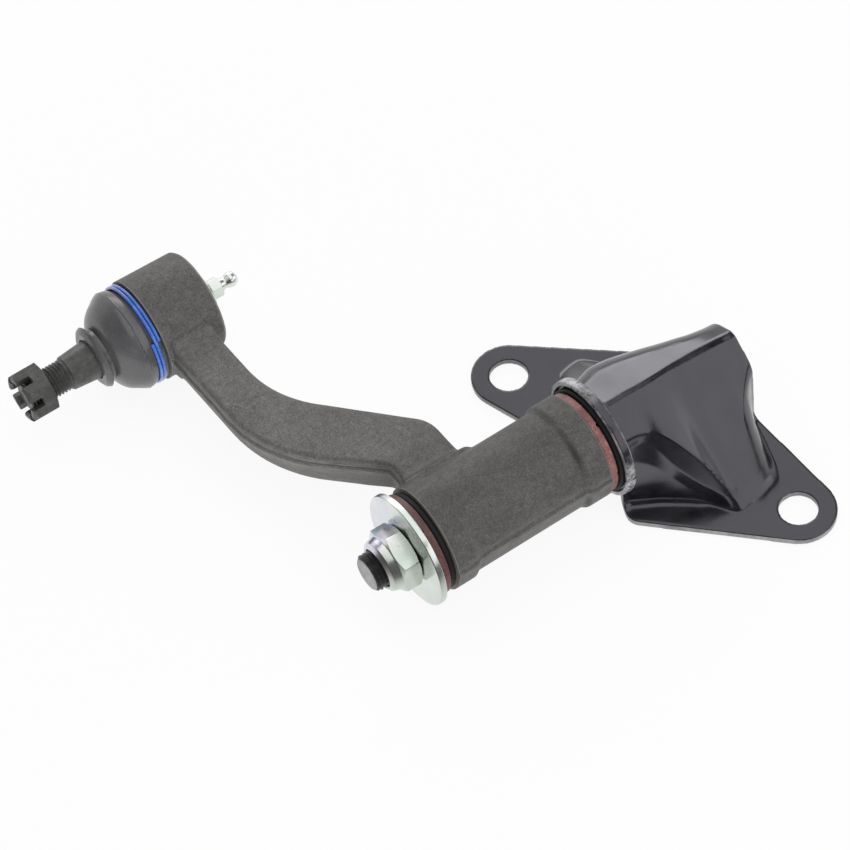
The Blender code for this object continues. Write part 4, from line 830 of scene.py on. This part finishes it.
def arm_section(front, rear):
    """One closed cross-section of the arm: drafted walls, round corners and the trimmed flash."""
    middle_y = (front.y + rear.y) / 2
    rise = fillet_rise(middle_y - BARREL_RADIUS) + fillet_rise(PIVOT_TO_BALL - HUB_NEAR_RADIUS - middle_y)
    rise = min(rise, 0.0042)
    share = min(max((middle_y - 0.0381) / (0.0806 - 0.0381), 0.0), 1.0)
    top = 0.0050 + rise
    bottom = 0.0100 - 0.0030 * share + rise
    across = (rear - front).normalized()
    width = (rear - front).length
    edge, draft, half = 0.0013, math.tan(math.radians(6.0)), 0.0009
    side = [
        (draft * top + edge, top),
        (draft * top + edge * 0.3, top - edge * 0.3),
        (draft * (top - edge), top - edge),
        (draft * half, half),
        (-0.0006, half * 0.6),
        (-0.0006, -half * 0.6),
        (draft * half, -half),
        (draft * (bottom - edge), edge - bottom),
        (draft * bottom + edge * 0.3, edge * 0.3 - bottom),
        (draft * bottom + edge, -bottom),
    ]
    outline = side + [(width - inset, height) for inset, height in reversed(side)]
    return [(*(front + across * inset), height) for inset, height in outline]


def arm_body():
    front, rear = arm_edges()
    front_shares, rear_shares = path_shares(front), path_shares(rear)
    rows = []
    for step in range(91):
        ends = point_at(front, front_shares, step / 90), point_at(rear, rear_shares, step / 90)
        rows.append(arm_section(*ends))
    return skin(rows)


def make_forging():
    """The raw forging flows together first; then its end faces, bores and the ball's chamber are machined.

    The raw ends stand longer by the allowance rough, and the cutters reach past them by cut.
    """
    rough, cut = 0.002, 0.01
    forging = finish_mesh("forging_body", filled(barrel_outline(0.0, rough)), ARM_FRAME, None)
    carve(forging, arm_body(), ARM_FRAME, "UNION")
    hub = [(HUB_NEAR - rough, HUB_NEAR_RADIUS), (HUB_FAR - 0.0014, HUB_FAR_RADIUS),
           (HUB_FAR, HUB_FAR_RADIUS - 0.0012)]
    carve(forging, filled(hub), HUB_FRAME, "UNION")
    ridge = [(x, -radius) for x, radius in barrel_outline(0.0007, rough)]
    ridge += [(x, radius) for x, radius in reversed(barrel_outline(0.0007, rough))]
    carve(forging, prism(ridge, -0.0013, 0.0013), ARM_FRAME, "UNION")
    remeshed(forging, 0.0005, 2)

    carve(forging, drum(HUB_NEAR, HUB_NEAR - cut, 0.03), HUB_FRAME)
    face = HUB_NEAR - SPIGOT_LENGTH
    spigot = [
        (face, SPIGOT_RADIUS - 0.0005), (face + 0.0005, SPIGOT_RADIUS), (HUB_NEAR + rough, SPIGOT_RADIUS),
    ]
    carve(forging, filled(spigot), HUB_FRAME, "UNION")
    chamber = [
        (face - SEAT_GAP, 0.0133), (-0.0955, 0.0105), (-0.0955, 0.0146), (COVER_SEAT, 0.0146),
        (COVER_SEAT, 0.0158), (-0.0728, 0.0158), (-0.0728, 0.0138), (HUB_FAR + SEAT_GAP, 0.0138),
    ]
    carve(forging, filled(chamber), HUB_FRAME)
    for start, end in ((BARREL_NEAR - cut, BARREL_NEAR), (BARREL_FAR, BARREL_FAR + cut)):
        carve(forging, drum(start, end, 0.028), ARM_FRAME)
    carve(forging, drum(BARREL_NEAR - cut, BARREL_FAR + cut, BARREL_BORE_RADIUS), ARM_FRAME)
    complete(forging, FORGED, 40.0, "arm", "forged_steel", "arm_forging")


# Threads, shaft and nuts

SHOULDER = WASHER_FRONT + 0.0027


def threaded(x_end, x_start, radius, pitch, depth, chamfer):
    """A threaded bar's surface from its free end: a helical groove that fades out at both ends."""
    count = round((x_start - x_end) / (pitch / 10))
    rows = []
    for step in range(count + 1):
        x = x_end + (x_start - x_end) * step / count
        fade = min(1.0, (x_start - x) / (pitch * 1.2))
        row = []
        for side in range(THREAD_SIDES):
            phase = (x / pitch - side / THREAD_SIDES) % 1.0
            groove = depth * min(1.0, 2.3 * abs(phase - 0.5))
            outer = min(radius - groove * fade, radius - chamfer + (x - x_end))
            turn = math.tau * side / THREAD_SIDES
            row.append((x, outer * math.cos(turn), outer * math.sin(turn)))
        rows.append(row)
    return skin(rows)


def make_shaft():
    start, radius, back = WASHER_FRONT - 0.002, PIVOT_THREAD_RADIUS, COLLAR_FRONT + COLLAR_THICKNESS
    bm = threaded(SHAFT_END, start, radius, pitch=0.0015, depth=0.00085, chamfer=0.0013)
    place_piece(finish_mesh("shaft_thread", bm, PIVOT_FRAME, BLACKENED, 30.0), "bracket", "blackened_steel")
    profile = rounded_path([
        (start, 0.0), (start, radius), (SHOULDER, radius), (SHOULDER, SHAFT_RADIUS), (back, SHAFT_RADIUS),
        (back, SHAFT_TAIL_RADIUS), (SHAFT_TAIL, SHAFT_TAIL_RADIUS), (SHAFT_TAIL, 0.0),
    ], (0.0001, 0.0001, 0.0003, 0.0001, 0.0003, 0.0013))
    lathe("shaft_body", profile, PIVOT_FRAME, BLACKENED, "bracket", "blackened_steel", "pivot_shaft")


def make_collar():
    """The cupped ring, its outer rim a little uneven where the weld drew it."""
    bore, back = SHAFT_RADIUS + SEAT_GAP, COLLAR_FRONT + COLLAR_THICKNESS
    floor, cup = COLLAR_FRONT + COLLAR_CUP_DEPTH, COLLAR_RADIUS - COLLAR_CUP_WALL
    profile = rounded_path([
        (floor, bore), (floor, cup), (COLLAR_FRONT, cup + 0.0003), (COLLAR_FRONT, COLLAR_RADIUS),
        (back, COLLAR_RADIUS), (back, bore + 0.0001),
    ], (0.0004, 0.0004, 0.0008, 0.0011))

    def wave(x, turn, reach):
        if reach <= cup:
            return 0.0
        height = 0.5 * math.sin(5 * turn + 0.7) + 0.3 * math.sin(11 * turn) + 0.2 * math.sin(23 * turn + 2.0)
        return -(0.00012 + 0.00012 * height) * (reach - cup) / COLLAR_CUP_WALL

    cup_ring = finish_mesh("collar_cup", waved(turned(profile, 160), wave), PIVOT_FRAME, PAINT_WORN)
    place_piece(cup_ring, "bracket", "black_paint", "collar_ring")


def make_washer():
    back, bore = WASHER_FRONT + WASHER_THICKNESS, PIVOT_THREAD_RADIUS + SEAT_GAP
    profile = rounded_path([
        (WASHER_FRONT, bore), (WASHER_FRONT, WASHER_RADIUS), (back, WASHER_RADIUS), (back, bore),
    ], (0.0005, 0.0003))
    lathe("washer_disc", profile, PIVOT_FRAME, ZINC, "bracket", "zinc_plate", "pivot_washer", 160)


def make_pivot_nut():
    """A hexagon nut with a domed locking collar."""
    base, bore = WASHER_FRONT - SEAT_GAP, PIVOT_THREAD_RADIUS + SEAT_GAP
    top, end = base - 0.0072, base - 0.0115
    corner = PIVOT_NUT_FLATS / 2 / math.cos(SIXTH / 2) * 1.003
    hexagonal = hexagon(PIVOT_NUT_FLATS, base, end, 28.0, 0.0005)
    nut = finish_mesh("nut_hexagon", hexagonal, PIVOT_FRAME, None)
    envelope = rounded_path([
        (end, 0.0), (end, 0.0076), (end + 0.0012, 0.0093), (top - 0.0012, 0.0099), (top - 0.0002, 0.0102),
        (top + 0.0010, corner), (base - 0.0008, corner), (base, 0.0103), (base, 0.0),
    ], (0.0003, 0.0012, 0.0012, 0.0004, 0.0003, 0.0003, 0.0001))
    carve(nut, turned(envelope), PIVOT_FRAME, "INTERSECT")
    drill = [(end - 0.01, 0.0083), (end, 0.0078), (end + 0.0006, bore), (base + 0.01, bore)]
    carve(nut, filled(drill, THREAD_SIDES), PIVOT_FRAME)
    complete(nut, ZINC_NUT, 28.0, "bracket", "zinc_plate", "pivot_nut")


def make_bushing(name, node, face, inward, material):
    """A flanged bushing with grease grooves across its thrust face."""
    bore, sleeve = SHAFT_RADIUS + RUNNING_GAP, BARREL_BORE_RADIUS - SEAT_GAP
    back, end = face + inward * BUSH_FLANGE_THICKNESS, face + inward * (BUSH_FLANGE_THICKNESS + BUSH_LENGTH)
    profile = rounded_path([
        (face, bore), (face, BUSH_FLANGE_RADIUS), (back, BUSH_FLANGE_RADIUS), (back, sleeve), (end, sleeve),
        (end, bore + 0.0001),
    ], (0.0006, 0.0003, 0.0001, 0.0006))
    bushing = finish_mesh(name, turned(profile, 120), ARM_FRAME, None)
    for groove in range(6):
        turn = Matrix.Rotation(math.radians(55.6) + groove * SIXTH, 4, "X")
        place = turn @ Matrix.Translation((face, 0.0160, 0.0)) @ Matrix.Rotation(math.pi / 2, 4, "X")
        carve(bushing, bored(0.00075, place, 0.0100, 20), ARM_FRAME)
    complete(bushing, material, 30.0, "arm", "bushing_resin", node)


def make_bearings():
    near_face = WASHER_FRONT + WASHER_THICKNESS + SEAT_GAP
    far_face = BARREL_FAR + SEAT_GAP + BUSH_FLANGE_THICKNESS
    make_bushing("bushing_near", "pivot_bushing_nut_side", near_face, 1, RESIN_DARKER)
    make_bushing("bushing_far", "pivot_bushing_bracket_side", far_face, -1, RESIN)
    near_start = near_face + BUSH_FLANGE_THICKNESS + SEAT_GAP
    far_end = COLLAR_FRONT + COLLAR_CUP_DEPTH - SEAT_GAP
    for name, node, start, end, inner, outer in (
        ("seal_near", "dust_seal_nut_side", near_start, BARREL_NEAR - SEAT_GAP, 0.0148, 0.0184),
        ("seal_far", "dust_seal_bracket_side", far_face + SEAT_GAP, far_end, 0.0103, 0.0199),
    ):
        profile = rounded_path(
            [(start, inner), (start, outer), (end, outer), (end, inner + 0.0001)], (0.0006, 0.0006)
        )
        lathe(name, profile, ARM_FRAME, SEAL_AND_SHADE, "arm", "black_rubber", node)


# Ball joint

STUD_TURN = 8.0


def make_boot():
    """The rubber boot: a bulge behind the clamp wire, a mould rib, soft pinches and a gathered neck."""
    start, far, neck = HUB_NEAR - SEAT_GAP, HUB_NEAR - SPIGOT_LENGTH, HUB_NEAR - BOOT_REACH
    length = far - neck
    shares = (0.00, 0.05, 0.12, 0.22, 0.30, 0.40, 0.53, 0.66, 0.78, 0.88, 0.95, 1.00)
    swells = (0.950, 0.975, 0.990, 1.003, 1.002, 0.982, 0.932, 0.868, 0.782, 0.685, 0.590, 0.534)
    profile = [
        (start, BOOT_BULGE * 0.955), (start - 0.0003, BOOT_BULGE * 0.965),
        (start - 0.0006, BOOT_WAIST + 0.0001), (start - 0.0009, BOOT_WAIST), (far + 0.0004, BOOT_WAIST),
    ]
    for step in range(61):
        share = step / 60
        rib = 0.00022 * math.exp(-((share - 0.27) / 0.012) ** 2)
        profile.append((far - length * share, BOOT_BULGE * smooth_value(shares, swells, share) + rib))
    profile += [(neck - 0.0008, 0.0101), (neck - 0.0016, 0.0100), (neck - 0.0016, BOOT_NECK_BORE),
                (neck, BOOT_NECK_BORE)]
    for share, swell in ((0.12, 0.58), (0.33, 0.77), (0.60, 0.89), (0.84, 0.91)):
        profile.append((neck + length * share, BOOT_BULGE * swell))
    profile += [(far - SEAT_GAP, SPIGOT_RADIUS + SEAT_GAP), (start, SPIGOT_RADIUS + SEAT_GAP)]

    def wave(x, turn, reach):
        share = (far - x) / length
        if not 0.05 < share < 0.98 or reach <= 0.0095:
            return 0.0
        dent = 0.00030 * math.sin(2 * turn + 5.0 * share + 0.6) + 0.00014 * math.sin(5 * turn - 6.0 * share)
        return (dent - 0.0002) * math.sin(math.pi * share) ** 2

    boot = finish_mesh("boot_rubber", waved(turned(profile, 144), wave), HUB_FRAME, RUBBER, 50.0)
    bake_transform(boot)
    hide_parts("dust_boot")


def make_wire():
    """The blue spring wire: two close turns round the boot, with plain cut ends."""
    wire, pitch, sides, per_turn = 0.00062, 0.0014, 14, 120
    radius = BOOT_WAIST + 0.00015 + wire
    middle = ((HUB_NEAR - SEAT_GAP - 0.0006) + (HUB_NEAR - SPIGOT_LENGTH)) / 2
    rows = []
    for step in range(2 * per_turn + 1):
        share = step / (2 * per_turn)
        turn = math.radians(147.7) + share * 2 * math.tau
        centre = Vector((middle + pitch * (2 * share - 1), 0.0, 0.0))
        out = Vector((0.0, math.cos(turn), math.sin(turn)))
        angles = [math.tau * side / sides for side in range(sides)]
        rows.append([
            centre + out * (radius + wire * math.cos(angle)) + Vector((wire * math.sin(angle), 0.0, 0.0))
            for angle in angles
        ])
    coil = finish_mesh("clamp_coil", skin(rows), HUB_FRAME, BLUE, 50.0)
    place_piece(coil, "arm", "blue_spring_wire", "boot_clamp_wire")


def make_lip():
    near, far, radius = -0.0274, -0.0296, 0.0119
    profile = rounded_path([
        (near - 0.0006, BOOT_NECK_BORE), (near - 0.0007, radius * 0.83), (near, radius * 0.97),
        (near - 0.0004, radius), (far + 0.0008, radius * 0.955), (far, radius * 0.84), (far, 0.0078),
    ], (0.0004, 0.0002, 0.0002, 0.0005, 0.0004))
    lathe("lip_flare", profile, STUD_FRAME, RUBBER, "boot_lip", "black_rubber", "boot_lip_ring", 120)


def make_stud():
    """Ball, neck and taper in one turned body, and the thread with its hole for a split pin."""
    flat, stop = 0.0095, -0.0402
    first = math.acos(flat / BALL_RADIUS)
    last = math.acos(-math.sqrt(BALL_RADIUS ** 2 - STUD_NECK_RADIUS ** 2) / BALL_RADIUS)
    turns = [first + (last - first) * step / 40 for step in range(41)]
    ball = [(BALL_RADIUS * math.cos(turn), BALL_RADIUS * math.sin(turn)) for turn in turns]
    profile = [(flat, 0.0), *ball] + rounded_path([
        (ball[-1][0] * 1.25, STUD_NECK_RADIUS), (-0.0225, 0.0074), (-0.0295, 0.0074), (-0.0398, 0.00645),
        (stop, STUD_THREAD_RADIUS), (stop, 0.0),
    ], (0.001, 0.001, 0.0003, 0.0001))
    lathe("stud_body", profile, STUD_FRAME, PHOSPHATE, "stud", "phosphated_steel", "ball_stud")
    bm = threaded(-0.0570, stop + 0.0002, STUD_THREAD_RADIUS, pitch=0.00135, depth=0.00078, chamfer=0.0010)
    thread = finish_mesh("stud_thread", bm, STUD_FRAME, None, 30.0)
    place = Matrix.Translation((-0.0545, 0.0, 0.0)) @ Matrix.Rotation(math.radians(STUD_TURN), 4, "X")
    carve(thread, bored(0.0016, place, 0.02, 32), STUD_FRAME)
    complete(thread, PHOSPHATE, 30.0, "stud", "phosphated_steel")


def make_castle_nut():
    """A hexagon nut with six rounded slots."""
    base, end, half_slot, bore = -0.0486, -0.0588, 0.00165, STUD_THREAD_RADIUS + SEAT_GAP
    corner = STUD_NUT_FLATS / 2 / math.cos(SIXTH / 2) * 1.003
    hexagonal = hexagon(STUD_NUT_FLATS, base, end, STUD_TURN, 0.0006)
    nut = finish_mesh("slotted_nut", hexagonal, STUD_FRAME, None)
    envelope = rounded_path([
        (end, 0.0), (end, 0.0084), (end + 0.0016, corner), (base - 0.0007, corner), (base, 0.0088),
        (base, 0.0),
    ], (0.0008, 0.0008, 0.0004, 0.0002))
    carve(nut, turned(envelope), STUD_FRAME, "INTERSECT")
    slot = rounded_path([
        (end - 0.003, -half_slot), (end + 0.0052, -half_slot), (end + 0.0052, half_slot),
        (end - 0.003, half_slot),
    ], (0.0007, 0.0007))
    for index in range(6):
        spin = Matrix.Rotation(math.radians(STUD_TURN + 30.0) + index * SIXTH, 4, "X")
        cutter = extruded([(point[0], 0.0048, point[1]) for point in slot], (0.0, 0.009, 0.0))
        carve(nut, cutter, STUD_FRAME @ spin)
    drill = [(end - 0.001, 0.0078), (end + 0.0008, bore), (base - 0.0006, bore), (base + 0.001, 0.0076)]
    carve(nut, filled(drill, THREAD_SIDES), STUD_FRAME)
    complete(nut, PHOSPHATE, 28.0, "stud", "phosphated_steel", "castle_nut")


def make_cover_and_nipple():
    """The domed plate that closes the hub, and the grease nipple in its middle."""
    inside, wall = COVER_SEAT + SEAT_GAP, 0.0019
    outside = inside + wall
    dome = outside + 0.0063
    profile = rounded_path([
        (inside, 0.0155), (outside, 0.0155), (outside, 0.0114), (outside + 0.0032, 0.0098),
        (dome, 0.0056), (dome, 0.0032), (dome - wall, 0.0032), (dome - wall, 0.0050),
        (inside + 0.0026, 0.0081), (inside, 0.0097),
    ], (0.0003, 0.0012, 0.0030, 0.0020, 0.0003, 0.0003, 0.0010, 0.0020))
    lathe("cover_dome", profile, HUB_FRAME, ZINC_HUB, "arm", "zinc_plate", "hub_cover")

    start, flats = dome + SEAT_GAP, 0.0070
    end, tip = start + 0.0042, start + 0.0113
    corner = flats / 2 / math.cos(SIXTH / 2) * 1.01
    nipple = finish_mesh("nipple_hexagon", hexagon(flats, start, end, 20.0, 0.0002), HUB_FRAME, None)
    envelope = [(start, 0.0037), (start + 0.0004, corner), (end - 0.0005, corner), (end, 0.0035)]
    carve(nipple, filled(envelope, 64), HUB_FRAME, "INTERSECT")
    stem = dome - 0.0063
    body = rounded_path([
        (stem, 0.0), (stem, 0.0029), (start + 0.001, 0.0029), (end, 0.0027), (end + 0.0020, 0.0020),
        (end + 0.0040, 0.0028), (end + 0.0050, 0.0029), (end + 0.0062, 0.0025), (tip, 0.0015), (tip, 0.0),
    ], (0.0002, 0.0001, 0.0006, 0.0012, 0.0006, 0.0008, 0.0010, 0.0003))
    carve(nipple, turned(body, 64), HUB_FRAME, "UNION")
    stop = tip - 0.0008
    passage = [(stem - 0.0003, 0.00125), (stop - 0.0009, 0.00125), (stop, 0.0007), (tip + 0.0003, 0.0008)]
    carve(nipple, filled(passage, 32), HUB_FRAME)
    complete(nipple, ZINC_HUB, 28.0, "arm", "zinc_plate", "grease_nipple")


make_bracket()
make_forging()
make_shaft()
make_collar()
make_washer()
make_pivot_nut()
make_bearings()
make_boot()
make_wire()
make_lip()
make_stud()
make_castle_nut()
make_cover_and_nipple()


# Floor, light and camera

TO_CAMERA = (-0.516, -0.857)
PHOTO_SIZE = 850.0
FOCAL_PIXELS = 4000.0
PIXELS_PER_MM = 2.88
AIM_IN_PHOTO = (591.869, 477.257)


def ray_mix(nodes, below, ray, seen, share=1.0):
    """Shows another shader to one kind of ray."""
    part = nodes.read(ray, "ShaderNodeLightPath") * share
    return nodes.fed("ShaderNodeMixShader", None, {0: part, 1: below, 2: seen})


def along(nodes, place, direction, *stops):
    """A smooth step along a direction: the stops are the low and high place and the two values."""
    dot = nodes.fed("ShaderNodeVectorMath", {"operation": "DOT_PRODUCT"}, {0: place, 1: direction}, "Value")
    return dot.band(*stops, kind="SMOOTHSTEP")


def emptied(owner):
    """The node tree of a material or world, ready for its own nodes."""
    owner.use_nodes = True
    owner.node_tree.nodes.clear()
    return Nodes(owner.node_tree)


def make_floor():
    """A white table that keeps the part's shadow; towards the camera its end lies in the room's dark."""
    bm = bmesh.new()
    bmesh.ops.create_grid(bm, x_segments=1, y_segments=1, size=6.0)
    mesh = bpy.data.meshes.new("floor")
    bm.to_mesh(mesh)
    bm.free()
    floor = bpy.data.objects.new("floor", mesh)
    floor.location = (0.0, 0.0, -0.0002)
    made = bpy.data.materials.new("floor_white")
    nodes = emptied(made)
    table = nodes.read(0, "ShaderNodeBsdfDiffuse", Color=(0.86, 0.86, 0.86))
    place = nodes.read("Object", "ShaderNodeTexCoord")
    level = along(nodes, place, (*TO_CAMERA, 0.0), 0.05, 0.16, 1.0, 0.05)
    table = ray_mix(nodes, table, "Is Glossy Ray", nodes.read(0, "ShaderNodeEmission", Strength=level), 0.9)
    table = ray_mix(nodes, table, "Is Camera Ray", nodes.read(0, "ShaderNodeEmission", Strength=1.0), 0.91)
    nodes.add("ShaderNodeOutputMaterial", Surface=table)
    mesh.materials.append(made)
    bpy.context.scene.collection.objects.link(floor)


def make_world():
    """A white room that lights evenly; behind the camera its lower part is dark, as reflections show."""
    world = bpy.data.worlds.new("studio")
    bpy.context.scene.world = world
    nodes = emptied(world)
    room = nodes.read(0, "ShaderNodeBackground", Color=(0.97, 0.98, 1.0), Strength=0.36)
    place = nodes.read("Generated", "ShaderNodeTexCoord")
    away = along(nodes, place, (-TO_CAMERA[0], -TO_CAMERA[1], 0.0), -0.25, 0.45, 0.0, 1.0)
    low = along(nodes, place, (0.0, 0.0, 1.0), 0.75, 0.30, 0.0, 1.0)
    level = (away * low).band(0.0, 1.0, 0.10, 1.0)
    mirrored = nodes.read(0, "ShaderNodeBackground", Strength=level)
    for ray in ("Is Glossy Ray", "Is Transmission Ray"):
        room = ray_mix(nodes, room, ray, mirrored)
    room = ray_mix(nodes, room, "Is Camera Ray", nodes.read(0, "ShaderNodeBackground", Strength=1.0))
    nodes.add("ShaderNodeOutputWorld", Surface=room)


def make_light(name, place, towards, size, power, mirrored=True):
    lamp = bpy.data.lights.new(name, "AREA")
    lamp.shape = "RECTANGLE"
    lamp.size, lamp.size_y = size
    lamp.energy = power
    obj = bpy.data.objects.new(name, lamp)
    obj.location = place
    obj.rotation_euler = (Vector(towards) - Vector(place)).to_track_quat("-Z", "Y").to_euler()
    obj.visible_glossy = mirrored
    bpy.context.scene.collection.objects.link(obj)


def make_camera():
    """The photograph's view, from the camera's right and up directions in the row's frame."""
    right = Vector((0.8159, -0.5757, -0.0541)).normalized()
    up = Vector((0.4899, 0.6384, 0.5937))
    up = (up - right * up.dot(right)).normalized()
    back = right.cross(up)
    middle = PHOTO_SIZE / 2
    distance = FOCAL_PIXELS / PIXELS_PER_MM / 1000.0
    across = (middle - AIM_IN_PHOTO[0]) / PIXELS_PER_MM / 1000.0
    above = (AIM_IN_PHOTO[1] - middle) / PIXELS_PER_MM / 1000.0
    camera = bpy.data.cameras.new("camera")
    camera.sensor_width = 36.0
    camera.lens = camera.sensor_width * FOCAL_PIXELS / PHOTO_SIZE
    camera.clip_end = 50.0
    obj = bpy.data.objects.new("camera", camera)
    turn = Matrix((right, up, back)).transposed().to_4x4()
    aim = SHIFT + Vector((0.0, 0.0, SHEET))
    obj.matrix_world = Matrix.Translation(aim + right * across + up * above + back * distance) @ turn
    bpy.context.scene.collection.objects.link(obj)
    bpy.context.scene.camera = obj


make_floor()
make_world()
make_light("top", (0.20, 0.13, 1.45), (0.20, 0.13, 0.0), (1.7, 2.42), 13.5)
make_light("right", (0.80, -1.05, 0.72), (0.0, 0.0, 0.0), (2.1, 0.99), 7.4)
make_light("rear", (0.47, 1.40, 0.80), (0.0, 0.0, 0.0), (1.4, 0.80), 8.4)
make_light("fill", (-0.62, -1.05, 0.13), (0.0, 0.0, 0.02), (1.5, 0.24), 11.0, False)
make_camera()

scene = bpy.context.scene
scene.view_settings.view_transform = "Standard"
